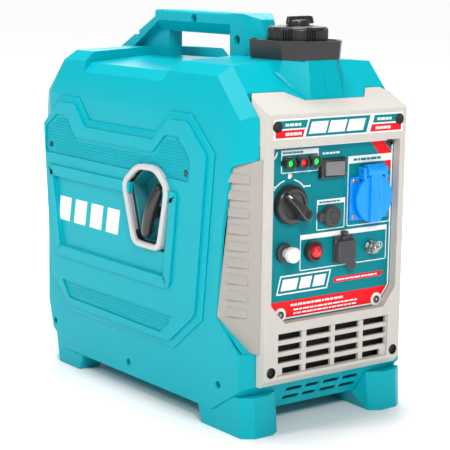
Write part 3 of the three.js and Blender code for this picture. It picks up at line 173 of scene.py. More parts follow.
def moulded(name, colour, roughness, grain=0.35, mottle=0.05, coat=0.0, metallic=0.0, worn=0.25,
            grain_size=0.9 * MM, specular=0.5):
    """Moulded plastic or cast metal: fine grain, faint mottling, paler rubbed edges."""
    material, tree = shaded(name)
    place = tree.node("ShaderNodeTexCoord", output="Object")
    fine = tree.node("ShaderNodeTexNoise", None,
                     {"Vector": place, "Scale": 1 / grain_size, "Detail": 3.0, "Roughness": 0.6})
    broad = tree.node("ShaderNodeTexNoise", None, {"Vector": place, "Scale": 22.0, "Detail": 4.0})
    cloud = tree.node("ShaderNodeTexNoise", None, {"Vector": place, "Scale": 160.0, "Detail": 5.0})
    edge = tree.node("ShaderNodeAttribute", {"attribute_name": "worn"}, output="Fac")
    dark = tuple(c * (1 - mottle * 2.2) for c in colour[:3]) + (1,)
    pale = tuple(min(1, c * (1 + mottle * 1.6) + mottle * 0.05) for c in colour[:3]) + (1,)
    rubbed = tuple(c + (0.8 - c) * 0.4 for c in colour[:3]) + (1,)
    base = tree.node("ShaderNodeMix", {"data_type": "RGBA"},
                     {"Factor": broad * 0.6 + fine * 0.4, "A": dark, "B": pale}, output=2)
    scuffed = edge * (cloud * 1.6 - 0.45).math("MAXIMUM", 0.0) * worn
    base = tree.node("ShaderNodeMix", {"data_type": "RGBA"},
                     {"Factor": scuffed, "A": base, "B": rubbed}, output=2)
    rough = cloud * 0.12 + (roughness - 0.06) - edge * 0.06
    bump = tree.node("ShaderNodeBump", None,
                     {"Strength": grain, "Distance": 0.12 * MM, "Height": fine})
    surface = tree.node("ShaderNodeBsdfPrincipled", None, {
        "Base Color": base, "Roughness": rough, "Metallic": metallic, "Normal": bump,
        "Coat Weight": coat, "Coat Roughness": 0.2, "Specular IOR Level": specular})
    close_material(tree, surface)
    return material


def glowing(name, colour, strength):
    """A lit lens: bright, with a fine uneven grain in its depth."""
    material, tree = shaded(name)
    place = tree.node("ShaderNodeTexCoord", output="Object")
    cells = tree.node("ShaderNodeTexVoronoi", None, {"Vector": place, "Scale": 900.0}, output="Distance")
    glow = tree.node("ShaderNodeMix", {"data_type": "RGBA"},
                     {"Factor": cells * 0.35 + 0.08, "A": colour, "B": tuple(
                         c * 0.35 for c in colour[:3]) + (1,)}, output=2)
    surface = tree.node("ShaderNodeBsdfPrincipled", None, {
        "Base Color": glow, "Emission Color": glow, "Emission Strength": strength, "Roughness": 0.2})
    close_material(tree, surface)
    return material


def braided(name, colour):
    """Cord of twisted yarn, its lay slanting round the rope."""
    material, tree = shaded(name)
    place = tree.node("ShaderNodeTexCoord", output="Object")
    lay = tree.node("ShaderNodeTexWave", {"bands_direction": "DIAGONAL"},
                    {"Vector": place, "Scale": 260.0, "Distortion": 1.5, "Detail": 3.0}, output="Fac")
    lint = tree.node("ShaderNodeTexNoise", None, {"Vector": place, "Scale": 1500.0, "Detail": 3.0})
    # painted shade: the yarn darkens to under half where the lay's bump is low, in the grooves between
    # strands; the lint adds random tone
    dark = tuple(c * 0.45 for c in colour[:3]) + (1,)
    base = tree.node("ShaderNodeMix", {"data_type": "RGBA"},
                     {"Factor": lay * 0.8 + lint * 0.3, "A": dark, "B": colour}, output=2)
    bump = tree.node("ShaderNodeBump", None, {"Strength": 0.8, "Distance": 0.5 * MM, "Height": lay})
    surface = tree.node("ShaderNodeBsdfPrincipled", None,
                        {"Base Color": base, "Roughness": 0.85, "Normal": bump})
    close_material(tree, surface)
    return material


def backdrop(name, colour):
    """Matt pale paint with a painted glow: an emission that grows slightly brighter away from the middle,
    standing in for the light on a lit backdrop.
    """
    material, tree = shaded(name)
    place = tree.node("ShaderNodeTexCoord", output="Object")
    distance = tree.node("ShaderNodeVectorMath", {"operation": "LENGTH"}, {0: place}, output="Value")
    glow_rise = ((distance - 0.3) * 0.6).math("MAXIMUM", 0.0).math("MINIMUM", 0.74)
    speck = tree.node("ShaderNodeTexNoise", None, {"Vector": place, "Scale": 300.0})
    # painted glow: the floor gives off more light away from the middle, in place of lamp light on a
    # backdrop
    painted_glow = tree.node("ShaderNodeMix", {"data_type": "RGBA"},
                      {"Factor": glow_rise, "A": (0, 0, 0, 1), "B": (1, 1, 1, 1)}, output=2)
    surface = tree.node("ShaderNodeBsdfPrincipled", None, {
        "Base Color": colour, "Roughness": speck * 0.05 + 0.87, "Emission Color": painted_glow,
        "Emission Strength": 1.0, "Specular IOR Level": 0.1})
    close_material(tree, surface)
    return material


def make_materials():
    return {
        "casing": moulded("teal_plastic", linear(0, 166, 180), 0.34, grain=0.2, mottle=0.02, worn=0.06,
                          coat=0.05, specular=0.1),
        # painted shade: the casing teal darkened to about seven tenths for the sunk starter well
        "well": moulded("starter_well_shaded_teal", linear(0, 118, 126), 0.45, grain=0.3),
        "bezel": moulded("bezel_plastic", linear(196, 191, 184), 0.42, grain=0.2, mottle=0.02),
        "louvre": moulded("louvre_plastic", linear(163, 157, 151), 0.5, grain=0.3, mottle=0.03),
        "panel": moulded("panel_film", linear(0, 128, 138), 0.45, grain=0.12, mottle=0.02, specular=0.1),
        "black": moulded("black_plastic", linear(26, 26, 27), 0.36, grain=0.3),
        "gloss": moulded("gloss_black_plastic", linear(40, 40, 42), 0.3, grain=0.15, coat=0.2),
        "rubber": moulded("dark_rubber", linear(62, 62, 64), 0.6, grain=0.4),
        "grey": moulded("grey_plastic", linear(118, 118, 120), 0.42, grain=0.3),
        "silver": moulded("silver_plastic", linear(190, 190, 190), 0.3, grain=0.2, coat=0.3),
        "white": moulded("white_plastic", linear(228, 228, 226), 0.36, grain=0.15, mottle=0.02),
        "white_print": moulded("white_ink", linear(240, 240, 240), 0.45, grain=0.05, mottle=0.01),
        "red_print": moulded("red_ink", linear(240, 16, 28), 0.45, grain=0.05, mottle=0.02, specular=0.15),
        "teal_print": moulded("teal_ink", linear(0, 126, 134), 0.45, grain=0.05, mottle=0.02, specular=0.1),
        "red": moulded("red_plastic", linear(222, 24, 30), 0.24, grain=0.1, coat=0.5),
        "blue": moulded("blue_plastic", linear(0, 150, 250), 0.34, grain=0.15, mottle=0.03, specular=0.3),
        "green_lens": glowing("green_lens", linear(20, 240, 80), 1.4),
        "red_lens": glowing("red_lens", linear(255, 30, 40), 1.4),
        "steel": moulded("plated_steel", linear(160, 160, 158), 0.28, grain=0.3, metallic=1.0),
        "aluminium": moulded("cast_aluminium", linear(175, 176, 178), 0.5, grain=0.7, metallic=1.0),
        "tank": moulded("tank_plastic", linear(38, 40, 42), 0.6, grain=0.5),
        "rope": braided("rope_fibre", linear(52, 50, 47)),
        # painted shade: a near-black matt stands in for the shade in gaps, holes, pockets and behind slots
        "dark": moulded("painted_shade_black", linear(10, 10, 11), 0.6, grain=0.3),
        "floor": backdrop("glowing_floor_paint", linear(250, 250, 250)),
    }


# ---------------------------------------------------------------- meshes
def copied(node):
    """A CAD node's solid as a bmesh with shared corners and whole flat faces."""
    bm = bmesh.new()
    bm.from_mesh(frame["nodes"][node].data)
    bmesh.ops.remove_doubles(bm, verts=bm.verts, dist=0.02 * MM)
    bmesh.ops.dissolve_limit(bm, angle_limit=math.radians(1), verts=bm.verts, edges=bm.edges)
    return bm


def softened(bm, width, angle=28, segments=2):
    """Rounds the sharp edges and marks the new faces as worn."""
    layer = bm.faces.layers.float.get("worn") or bm.faces.layers.float.new("worn")
    sharp = [e for e in bm.edges
             if len(e.link_faces) == 2 and e.calc_face_angle(0) > math.radians(angle)]
    made = bmesh.ops.bevel(bm, geom=sharp, offset=width * MM, segments=segments, profile=0.5,
                           affect="EDGES", clamp_overlap=True)
    for face in made["faces"]:
        face[layer] = 1.0
    return bm


def as_piece(name, bm, material, body, replaces=(), smooth=40):
    """A finished piece that rides on a body; a piece with no body is left unattached."""
    mesh = bpy.data.meshes.new(name)
    bm.normal_update()
    bm.to_mesh(mesh)
    bm.free()
    mesh.materials.append(PAINT[material])
    piece = bpy.data.objects.new(name, mesh)
    bpy.context.scene.collection.objects.link(piece)
    mesh.shade_smooth()
    mesh.set_sharp_from_angle(angle=math.radians(smooth))
    weighted = piece.modifiers.new("flat faces", "WEIGHTED_NORMAL")
    weighted.keep_sharp = True
    weighted.weight = 90
    if body:
        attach(piece, body)
    if replaces:
        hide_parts(*replaces)
    return piece


def closed(bm):
    bmesh.ops.recalc_face_normals(bm, faces=bm.faces)
    return bm


def joined(*parts):
    """Several bmeshes, each a closed body, as one."""
    whole = bmesh.new()
    for part in parts:
        mesh = bpy.data.meshes.new("part")
        part.to_mesh(mesh)
        part.free()
        whole.from_mesh(mesh)
        bpy.data.meshes.remove(mesh)
    return whole


PLACE = {
    "x": lambda a, u, v: Vector((a, u, v)) * MM,
    "y": lambda a, u, v: Vector((u, a, v)) * MM,
    "z": lambda a, u, v: Vector((u, v, a)) * MM,
}


def skinned(bm, rings, shut=False):
    """Quads between rings of corners; a ring of one corner is a tip."""
    pairs = list(zip(rings, rings[1:]))
    if shut:
        pairs.append((rings[-1], rings[0]))
    for lower, upper in pairs:
        count = max(len(lower), len(upper))
        if count == 1:
            continue
        for i in range(count):
            j = (i + 1) % count
            corners = [lower[i % len(lower)], lower[j % len(lower)],
                       upper[j % len(upper)], upper[i % len(upper)]]
            bm.faces.new(list(dict.fromkeys(corners)))


def lathe(profile, axis, centre, sides=64):
    """[radius, height] points turned about an axis; a profile off the axis closes on itself."""
    bm = bmesh.new()
    rings = []
    for radius, height in profile:
        if radius == 0:
            rings.append([bm.verts.new(PLACE[axis](height, *centre))])
            continue
        ring = []
        for i in range(sides):
            angle = math.tau * i / sides
            u, v = centre[0] + radius * math.cos(angle), centre[1] + radius * math.sin(angle)
            ring.append(bm.verts.new(PLACE[axis](height, u, v)))
        rings.append(ring)
    skinned(bm, rings, shut=profile[0][0] > 0)
    return closed(bm)


def hull(points, width=0.0, segments=2):
    bm = bmesh.new()
    for point in points:
        bm.verts.new(Vector(point) * MM)
    bmesh.ops.convex_hull(bm, input=bm.verts)
    bmesh.ops.dissolve_limit(bm, angle_limit=math.radians(1), verts=bm.verts, edges=bm.edges)
    closed(bm)
    return softened(bm, width, segments=segments) if width else bm


def block(x0, x1, y0, y1, z0, z1, width=0.4):
    return hull([(x, y, z) for x in (x0, x1) for y in (y0, y1) for z in (z0, z1)], width)


def plate(outline, axis, low, high):
    """A flat plate whose outline lies square to an axis."""
    bm = bmesh.new()
    rings = [[bm.verts.new(PLACE[axis](a, u, v)) for u, v in outline] for a in (low, high)]
    skinned(bm, rings)
    bm.faces.new(rings[0])
    bm.faces.new(rings[1])
    return closed(bm)


def inset(outline, distance):
    """An outline moved inwards, with mitred corners."""
    count = len(outline)
    area = sum(u * outline[(i + 1) % count][1] - outline[(i + 1) % count][0] * v
               for i, (u, v) in enumerate(outline))
    side = math.copysign(distance, area)

    def normal(a, b):
        length = math.hypot(b[0] - a[0], b[1] - a[1])
        return (a[1] - b[1]) / length, (b[0] - a[0]) / length

    moved = []
    for i, point in enumerate(outline):
        before, after = normal(outline[i - 1], point), normal(point, outline[(i + 1) % count])
        scale = side / (1 + before[0] * after[0] + before[1] * after[1])
        moved.append((point[0] + (before[0] + after[0]) * scale, point[1] + (before[1] + after[1]) * scale))
    return moved


def strip(outline, width, axis, low, high):
    """A flat frame that follows the inside of an outline."""
    bm = bmesh.new()
    loops = [(low, outline), (high, outline), (high, inset(outline, width)), (low, inset(outline, width))]
    skinned(bm, [[bm.verts.new(PLACE[axis](a, u, v)) for u, v in loop] for a, loop in loops], shut=True)
    return closed(bm)


def rounded(u0, u1, v0, v1, radius, steps=6):
    corners = ((u1 - radius, v1 - radius, 0), (u0 + radius, v1 - radius, 90),
               (u0 + radius, v0 + radius, 180), (u1 - radius, v0 + radius, 270))
    angles = [(u, v, math.radians(start + 90 * i / steps))
              for u, v, start in corners for i in range(steps + 1)]
    return [(u + radius * math.cos(a), v + radius * math.sin(a)) for u, v, a in angles]


def eased(outline, radius, steps=5):
    """An outline with its corners rounded."""
    made = []
    for i, corner in enumerate(outline):
        here = Vector(corner)
        ends = []
        for other in (outline[i - 1], outline[(i + 1) % len(outline)]):
            way = Vector(other) - here
            ends.append(here + way.normalized() * min(radius, way.length * 0.45))
        for k in range(steps + 1):
            t = k / steps
            made.append(tuple(ends[0] * (1 - t) ** 2 + here * 2 * t * (1 - t) + ends[1] * t ** 2))
    return made


def ring_outline(radius, centre, sides=48):
    return [(centre[0] + radius * math.cos(math.tau * i / sides),
             centre[1] + radius * math.sin(math.tau * i / sides)) for i in range(sides)]


def arc(centre, inner, outer, start, end, steps=14):
    angles = [math.radians(start + (end - start) * i / steps) for i in range(steps + 1)]
    near = [(centre[0] + inner * math.cos(a), centre[1] + inner * math.sin(a)) for a in angles]
    far = [(centre[0] + outer * math.cos(a), centre[1] + outer * math.sin(a)) for a in angles]
    return near + far[::-1]


def carved(bm, cutter):
    """A shape with another taken out of it."""
    objects = []
    for part in (bm, cutter):
        mesh = bpy.data.meshes.new("part")
        part.to_mesh(mesh)
        part.free()
        objects.append(plain_object("part", mesh))
    modifier = objects[0].modifiers.new("cut", "BOOLEAN")
    modifier.object = objects[1]
    modifier.solver = "EXACT"
    depsgraph = bpy.context.evaluated_depsgraph_get()
    rest = bmesh.new()
    rest.from_mesh(bpy.data.meshes.new_from_object(objects[0].evaluated_get(depsgraph)))
    for used in objects:
        bpy.data.objects.remove(used)
    return rest


# ---------------------------------------------------------------- repeated shapes
def repeat_tree():
    """Copies of one shape at marked points, each turned by the angles its point carries."""
    group = bpy.data.node_groups.new("repeat", "GeometryNodeTree")
    for name, kind in (("Points", "NodeSocketGeometry"), ("Shape", "NodeSocketObject"),
                       ("Size", "NodeSocketFloat"), ("Material", "NodeSocketMaterial")):
        group.interface.new_socket(name, in_out="INPUT", socket_type=kind)
    group.interface.new_socket("Result", in_out="OUTPUT", socket_type="NodeSocketGeometry")
    tree = Tree(group)
    given = group.nodes.new("NodeGroupInput")
    wires = {socket.name: Wire(tree, socket) for socket in given.outputs}
    shape = tree.node("GeometryNodeObjectInfo", None, {"Object": wires["Shape"]}, output="Geometry")
    turn = tree.node("GeometryNodeInputNamedAttribute", {"data_type": "FLOAT_VECTOR"}, {"Name": "turn"})
    angles = tree.node("FunctionNodeEulerToRotation", None, {0: turn})
    copies = tree.node("GeometryNodeInstanceOnPoints", None, {
        "Points": wires["Points"], "Instance": shape, "Rotation": angles, "Scale": wires["Size"]})
    real = tree.node("GeometryNodeRealizeInstances", None, {0: copies})
    done = tree.node("GeometryNodeSetMaterial", None, {"Geometry": real, "Material": wires["Material"]})
    tree.node("NodeGroupOutput", None, {"Result": done})
    return group


def plain_object(name, mesh):
    made = bpy.data.objects.new(name, mesh)
    bpy.context.scene.collection.objects.link(made)
    return made


def repeated(name, shape, places, material, body, size=1.0, replaces=()):
    """One piece made of a shape, built at the origin, copied to (point, angles) places."""
    shape_mesh = bpy.data.meshes.new(name + "_shape")
    shape.to_mesh(shape_mesh)
    shape.free()
    source = plain_object(name + "_shape", shape_mesh)
    points = bpy.data.meshes.new(name + "_points")
    points.from_pydata([Vector(p) * MM for p, _ in places], [], [])
    turns = points.attributes.new("turn", "FLOAT_VECTOR", "POINT")
    for i, (_, angles) in enumerate(places):
        turns.data[i].vector = [math.radians(a) for a in angles]
    holder = plain_object(name + "_points", points)
    modifier = holder.modifiers.new("repeat", "NODES")
    modifier.node_group = REPEAT
    given = {"Shape": source, "Size": size, "Material": PAINT[material]}
    for socket in REPEAT.interface.items_tree:
        if socket.in_out == "INPUT" and socket.name in given:
            modifier[socket.identifier] = given[socket.name]
    depsgraph = bpy.context.evaluated_depsgraph_get()
    mesh = bpy.data.meshes.new_from_object(holder.evaluated_get(depsgraph), depsgraph=depsgraph)
    holder.modifiers.remove(modifier)
    bm = bmesh.new()
    bm.from_mesh(mesh)
    for old in (holder, source):
        bpy.data.objects.remove(old)
    return as_piece(name, bm, material, body, replaces)


def screw_shape(radius=3.6, height=1.6):
    """A pan head with a hexagon socket, its seat at the origin, facing +Z."""
    return lathe([(0, 0.2), (1.7, 0.2), (1.9, height - 0.1), (2.3, height), (radius - 0.8, height),
                  (radius, height - 0.7), (radius, 0), (0, 0)], "z", (0, 0), 24)


# ---------------------------------------------------------------- the pieces
TOWARDS = {"-x": (0, -90, 0), "x": (0, 90, 0), "-y": (90, 0, 0), "y": (-90, 0, 0), "z": (0, 0, 0)}
LEFT = -1
SIDES = ((LEFT, "left"), (1, "right"))


def across(side, near, far):
    """Two distances from the middle plane as x values, the lower one first."""
    return sorted((side * near, side * far))


def refined(node, width, material, name=None, segments=2, angle=28):
    shape = softened(copied(node), width, angle, segments)
    as_piece(name or node + "_skin", shape, material, NODE_BODY[node], [node])


def casing_pieces():
    for side in ("left", "right"):
        refined(f"{side}_shell", 1.3, "casing", segments=3, angle=24)
        refined(f"{side}_service_cover", 1.0, "casing", segments=3, angle=20)
        refined(f"{side}_louvre_panel", 0.8, "louvre")
        for end in ("front", "rear"):
            refined(f"foot_{end}_{side}", 1.6, "casing", segments=3)
    refined("front_bezel", 0.9, "bezel")
    refined("rear_cover", 0.8, "black")
    refined("fuel_collar", 1.0, "black", segments=3)


UPPER_BAND = [(161.6, 299), (139.6, 299), (120, 276), (-35, 275.6), (-58, 296), (-82, 297),
              (-104, 276), (-101.4, 251.6), (187, 252.5), (186, 283)]
LOWER_BAND = [(151, 106), (135, 86), (-54, 84), (-77.5, 106)]
STARTER_RING = [(-10, 262), (-47, 263), (-71, 242), (-55, 171), (-3, 171), (19, 239)]
COVER_FACE = 114.8


def inside(point, outline):
    u, v = point
    within = False
    for (u0, v0), (u1, v1) in zip(outline, outline[1:] + outline[:1]):
        if (v0 > v) != (v1 > v) and u < (u1 - u0) * (v - v0) / (v1 - v0) + u0:
            within = not within
    return within


def scale_shape():
    """One scale of the texture: a shallow arch that rises towards its lower rim, facing +Z."""
    rim = [(2.3 * math.cos(math.radians(a)), -1.5 * math.sin(math.radians(a)) - 0.1)
           for a in (0, 36, 72, 108, 144, 180)]
    low = [(u, v, -0.3) for u, v in rim]
    high = [(u * 0.9, v * 0.9, 0.55) for u, v in rim]
    return hull(low + high + [(0, 1.5, -0.3), (0, 1.3, 0.05)])


def cover_texture(side, name):
    """Rows of scales in the two sunk bands of a service cover, every other row shifted by half."""
    row_step, scale_step = 3.4, 5.0
    places = []
    x = side * COVER_FACE
    for sunk_band in (UPPER_BAND, LOWER_BAND):
        field = inset(sunk_band, 3.2)
        low, high = min(v for _, v in field), max(v for _, v in field)
        for row in range(int((high - low) / row_step) + 1):
            z = low + 1.2 + row * row_step
            for column in range(-60, 90):
                y = column * scale_step + (row % 2) * scale_step / 2
                ring = side == LEFT and inside((y, z), inset(STARTER_RING, -5))
                if inside((y, z), field) and not ring and (abs(y - 176) > 6 or abs(z - 262) > 6):
                    places.append(((x, y, z), (90, 0, side * 90)))
    repeated(f"{name}_cover_scales", scale_shape(), places, "casing", "root", size=1.15)


def scoop_shape(side):
    """A louvre hood, standing on the YZ plane of its own frame, deepest at its rear lower corner."""
    base = [(-side * 0.6, y, z) for y, z in ((-3, -5), (22, -5), (22, 5), (-3, 4))]
    lip = [(side * 3.2, 20.5, -4.4), (side * 1.0, -2, -4.6), (side * 0.7, 19, 3.6), (side * 0.3, -1, 2.6)]
    return hull(base + lip, 0.3)


def louvre_sills():
    """Floors under the lower edges of the louvre panels, back to the shells."""
    for side, name in SIDES:
        rim = [(109.4, -143.6, 118), (109.9, -144.5, 117), (96.6, -179.5, 85.4), (103.4, -178.5, 85.4),
               (92.6, -185, 85.4)]
        sill = hull([(side * x, y, z - drop) for x, y, z in rim for drop in (0, 2.2)])
        as_piece(f"{name}_louvre_sill", sill, "casing", "root")


def louvre_hoods():
    hood_count, hood_step, lean = 9, 17, 19.4
    for side, name in SIDES:
        places = [((side * 98.9, -175.6, 126.8 + i * hood_step), (0, 0, -side * lean))
                  for i in range(hood_count)]
        repeated(f"{name}_louvre_hoods", scoop_shape(side), places, "louvre", "root")


def screws():
    """Heads of the screws, by the surface they sit in."""
    pockets = []
    for side, way in ((-1, "-x"), (1, "x")):
        for y, z in ((-53, 392), (26, 412), (140, 391)):
            pockets.append(((side * 13.1, y, z), TOWARDS[way]))
        for y, z in ((-148, 48), (18, 34), (177, 49)):
            pockets.append(((side * 104.1, y, z), TOWARDS[way]))
        for y, z in ((176, 262), (-94.3, 260)):
            pockets.append(((side * (COVER_FACE - 0.4), y, z), TOWARDS[way]))
    for x, z in ((-83.5, 68), (83.5, 68)):
        pockets.append(((x, -197.1, z), TOWARDS["-y"]))
    for x in (-74, 74):
        for z in (98, 276):
            pockets.append(((x, 211.2, z), TOWARDS["y"]))
    repeated("casing_screws", screw_shape(), pockets, "black", "root")
    panel = [((x, -190.1, z), TOWARDS["-y"])
             for x, z in ((-81, 289.5), (78, 290.5), (-65.4, 123.5), (65.7, 123.5))]
    repeated("panel_screws", screw_shape(3.9, 2.4), panel, "gloss", "root")
    flange = [((50 + u, -193.4, 234.7 + v), TOWARDS["-y"]) for u in (-23, 23) for v in (-18.5, 18.5)]
    repeated("socket_screws", screw_shape(2.7, 1.4), flange, "steel", "root")
    # painted shade: dark cups round the bezel screws and dark discs at the nameplate's ends, standing in
    # for the shade in pockets and holes
    pocket_shades = [lathe([(4.3, -200.1), (5.6, -200.25), (5.6, -197.2), (0, -197.2), (0, -197.1), (4.3, -197.1)],
                  "y", (x, z), 32) for x, z in ((-83.5, 68), (83.5, 68))]
    pocket_shades += [lathe([(0, -200.7), (4.2, -200.7), (4.9, -201.2), (5.7, -201), (5.8, -200), (0, -200)],
                   "y", (x, 315.5), 32) for x in (-81.5, 81.5)]
    as_piece("bezel_screw_cups", joined(*pocket_shades), "dark", "root")


PANEL_Y = -190.0
LABEL = [(-84, 294), (-84, 137.5), (-66.5, 118.5), (67.5, 118.5), (83, 137.5), (83, 294)]


def band(x0, x1, z0, z1):
    return [(x0, z0), (x1, z0), (x1, z1), (x0, z1)]


def grille_screen():
    """A dark sheet of painted shade behind the slots of the intake grille."""
    shade_sheet = plate(band(-79, 79, 60, 110), "y", -188.6, -187.4)
    as_piece("grille_screen", shade_sheet, "dark", "root")


def text_bars(x0, x1, z, height, widths, gap=1.2):
    """A run of plain bars, wide and narrow in turn."""
    bars = []
    x = x0
    for width in widths:
        if x + width > x1:
            break
        bars.append(band(x, x + width, z, z + height))
        x += width + gap
    return bars


def print_piece(name, material, plates, strips, y):
    """Ink as thin plates; each stands off by a hair more than the last, so no two faces coincide."""
    hair = 0.003
    parts = [plate(outline, "y", y - 0.25 - i * hair, y + 0.05) for i, outline in enumerate(plates)]
    parts += [strip(outline, width, "y", y - 0.2 + i * hair, y + 0.05)
              for i, (outline, width) in enumerate(strips)]
    as_piece(name, joined(*parts), material, "root")


def panel_prints():
    dial = (-57, 236)
    white = [band(-68, -19.5, 285.5, 290.5), band(-20, 18, 232, 237), band(21, 82, 271.5, 279),
             band(-41, 78, 198, 203), arc(dial, 24.5, 25.7, 104, 142), arc(dial, 24.5, 25.7, 38, 76),
             band(-58.8, -55.2, 262, 268), band(-54.6, -53.8, 263, 266.5)]
    white += text_bars(-14, 12, 283.4, 1.8, (3, 4, 3.4, 3, 4.4, 3))
    white += text_bars(-82, -73, 254, 1.5, (2.6, 2.2, 2.4), 0.6)
    white += text_bars(-38, -27, 252, 1.5, (2.4, 3, 2.2), 0.6)
    badge = [(-71, 144), (-66, 163.5), (1.5, 163.5), (-3.5, 144)]
    white += [[(-65.5, 148), (-62.5, 159.5), (-42, 159.5), (-45, 148)],
              [(-41.5, 148), (-38.5, 159.5), (-24, 159.5), (-27, 148)],
              [(-23.5, 148), (-20.5, 159.5), (-5, 159.5), (-8, 148)]]
    boxes = [(rounded(-68, -19.5, 267.5, 290.5, 1.5), 0.9), (rounded(-20, 18, 205.6, 237, 2), 0.9),
             (rounded(21, 82, 206, 279, 3), 0.9), (rounded(-41, 78, 166, 203, 2), 0.9), (badge, 1.4),
             (LABEL, 1.5), (ring_outline(4.2, (68.5, 181.5)), 0.6)]
    white += [arc((-81, 289.5), 6.8, 8.2, 270, 360), band(68.2, 68.8, 179, 184.4),
              band(66.4, 70.6, 181, 181.6), band(67.2, 69.8, 179.6, 180.1)]
    print_piece("panel_white_print", "white_print", white, boxes, PANEL_Y)
    red = [[(-82.3, 137), (-66, 120.1), (67, 120.1), (81.3, 137)],
           [(52, 292.4), (70, 292.4), (81.3, 280), (81.3, 260)],
           [(5, 148.5), (6.6, 154), (74, 154), (72.4, 148.5)]]
    print_piece("panel_red_print", "red_print", red, [], PANEL_Y + 0.12)
    fine = text_bars(-52, 40, 131, 2.2, (4, 3, 6, 3.4, 5, 4, 8, 3, 6, 4, 5, 6))
    fine += text_bars(-48, 46, 126.2, 1.6, (6, 4, 8, 5, 3, 7, 5, 6, 9, 4, 6, 5, 4))
    fine += text_bars(-48, 46, 122.4, 1.6, (3, 6, 5, 8, 4, 6, 7, 3, 6, 8, 5, 4, 6))
    fine += text_bars(9, 70, 150.4, 1.6, (6, 3, 7, 4, 8, 5, 3, 7, 4, 5))
    fine += [ring_outline(7.2, (-65.4, 123.5)), ring_outline(7.2, (65.7, 123.5))]
    print_piece("panel_fine_print", "white_print", fine, [], PANEL_Y - 0.3)
    head = text_bars(-66, -34, 287, 1.8, (3, 2, 4, 2, 3, 3, 4), 0.8)
    head += text_bars(28, 72, 274, 2.4, (5, 3, 7, 4, 8, 5))
    head += text_bars(-17, 16, 233.6, 1.6, (4, 3, 5, 2, 5, 4), 0.9)
    print_piece("panel_header_print", "teal_print", head, [], PANEL_Y - 0.3)


def nameplate_prints():
    face = -200.0
    lean = 3.2
    sloped = lambda x0, x1, z0, z1: [(x0, z0), (x1, z0), (x1 + (z1 - z0) * lean / 10, z1),
                                     (x0 + (z1 - z0) * lean / 10, z1)]
    print_piece("nameplate", "white_print", [rounded(-86.5, 86.5, 302.8, 323, 1)], [], face)
    print_piece("nameplate_teal", "teal_print",
                [[(-84, 313.4), (-45.5, 313.4), (-43, 321.2), (-84, 321.2)],
                 [(44, 313.4), (84, 313.4), (84, 321.2), (46.5, 321.2)], sloped(-46, 35, 304.2, 321.6)],
                [], face - 0.3)
    print_piece("nameplate_red", "red_print",
                [[(-84, 304.4), (-49.5, 304.4), (-47, 311.8), (-84, 311.8)],
                 [(40.5, 304.4), (84, 304.4), (84, 311.8), (43, 311.8)]], [], face - 0.3)
    bars = [sloped(-42 + i * 25, -20 + i * 25, 307, 318.8) for i in range(3)]
    bars += text_bars(-72, -50, 306.6, 2.8, (5, 3, 5, 4)) + text_bars(-72, -50, 315.8, 2.6, (4, 5, 4, 3))
    bars += text_bars(48, 76, 306.6, 2.8, (5, 3, 5, 4)) + text_bars(50, 76, 315.8, 2.6, (4, 5, 4, 3))
    print_piece("nameplate_bars", "white_print", bars, [], face - 0.6)


def cover_mark():
    """Plain white bars on the sunk middle of the left cover."""
    bars = [[(y, 176), (y - 5, 204), (y - 29, 204), (y - 24, 176)] for y in (160, 126, 92, 58)]
    as_piece("cover_mark", joined(*[plate(bar, "x", -115.5, -114.9) for bar in bars]),
             "white_print", "root")


COVER_FRAME = [(181, 239), (161, 134), (-71, 134), (-84, 239)]
COVER = [(199, 285), (157, 321), (120, 321), (98, 297), (-34, 297), (-60, 321), (-99, 321),
         (-139, 285), (-121, 110), (-70, 69), (134, 69), (183, 110)]
COVER_RELIEF = {-1: (117.0, 119.6), 1: (115.8, 116.7)}  # face and frame, out from the middle plane
COVER_BACK = 114.2  # back of the raised faces and frames
THROUGH = (105, 125)  # a cut right through the relief


def cover_faces():
    """Raised faces and frames of the service covers, their textured bands left sunk."""
    for side, name in SIDES:
        face, rise = COVER_RELIEF[side]
        cutters = [eased(UPPER_BAND, 3), eased(LOWER_BAND, 3), inset(COVER_FRAME, 12.5)]
        if side == LEFT:
            cutters.append(eased(inset(STARTER_RING, -3.6), 13))
        face_bm = plate(eased(inset(COVER, 8), 5), "x", *across(side, COVER_BACK, face))
        frame_bm = strip(eased(COVER_FRAME, 9), 12.2, "x", *across(side, COVER_BACK, rise))
        for cutter in cutters:
            face_bm = carved(face_bm, plate(cutter, "x", *across(side, *THROUGH)))
        if side == LEFT:
            round_ring = plate(eased(inset(STARTER_RING, -9), 16), "x", *across(side, *THROUGH))
            frame_bm = carved(frame_bm, round_ring)
        as_piece(f"{name}_cover_face", softened(face_bm, 1.5, segments=3), "casing", "root")
        as_piece(f"{name}_cover_frame", softened(frame_bm, 1.9, segments=3), "casing", "root")
        # painted shade: a dark strip round each cover, where the shadow in the gap between cover and shell
        # falls
        gap = strip(inset(COVER, -1.8), 3.2, "x", *across(side, 110.6, 111.6))
        as_piece(f"{name}_cover_gap", gap, "dark", "root")


def lamps():
    for i, x in enumerate((-62, -45, -28.5)):
        colour = "red" if i == 1 else "green"
        lens = lathe([(0, -198.6), (1.6, -198.4), (2.9, -197.6), (3.5, -196.2), (3.5, -190.4), (0, -190.4)],
                     "y", (x, 278), 32)
        node = f"status_lamp_{i + 1}"
        as_piece(f"lamp_lens_{i + 1}", lens, f"{colour}_lens", "root", [node])
    collars = [lathe([(3.7, -199.4), (4.2, -200), (5.6, -200), (6.3, -199.2), (6.3, -190.3), (3.7, -190.3)],
                     "y", (x, 278), 48) for x in (-62, -45, -28.5)]
    as_piece("lamp_collars", joined(*collars), "gloss", "root")


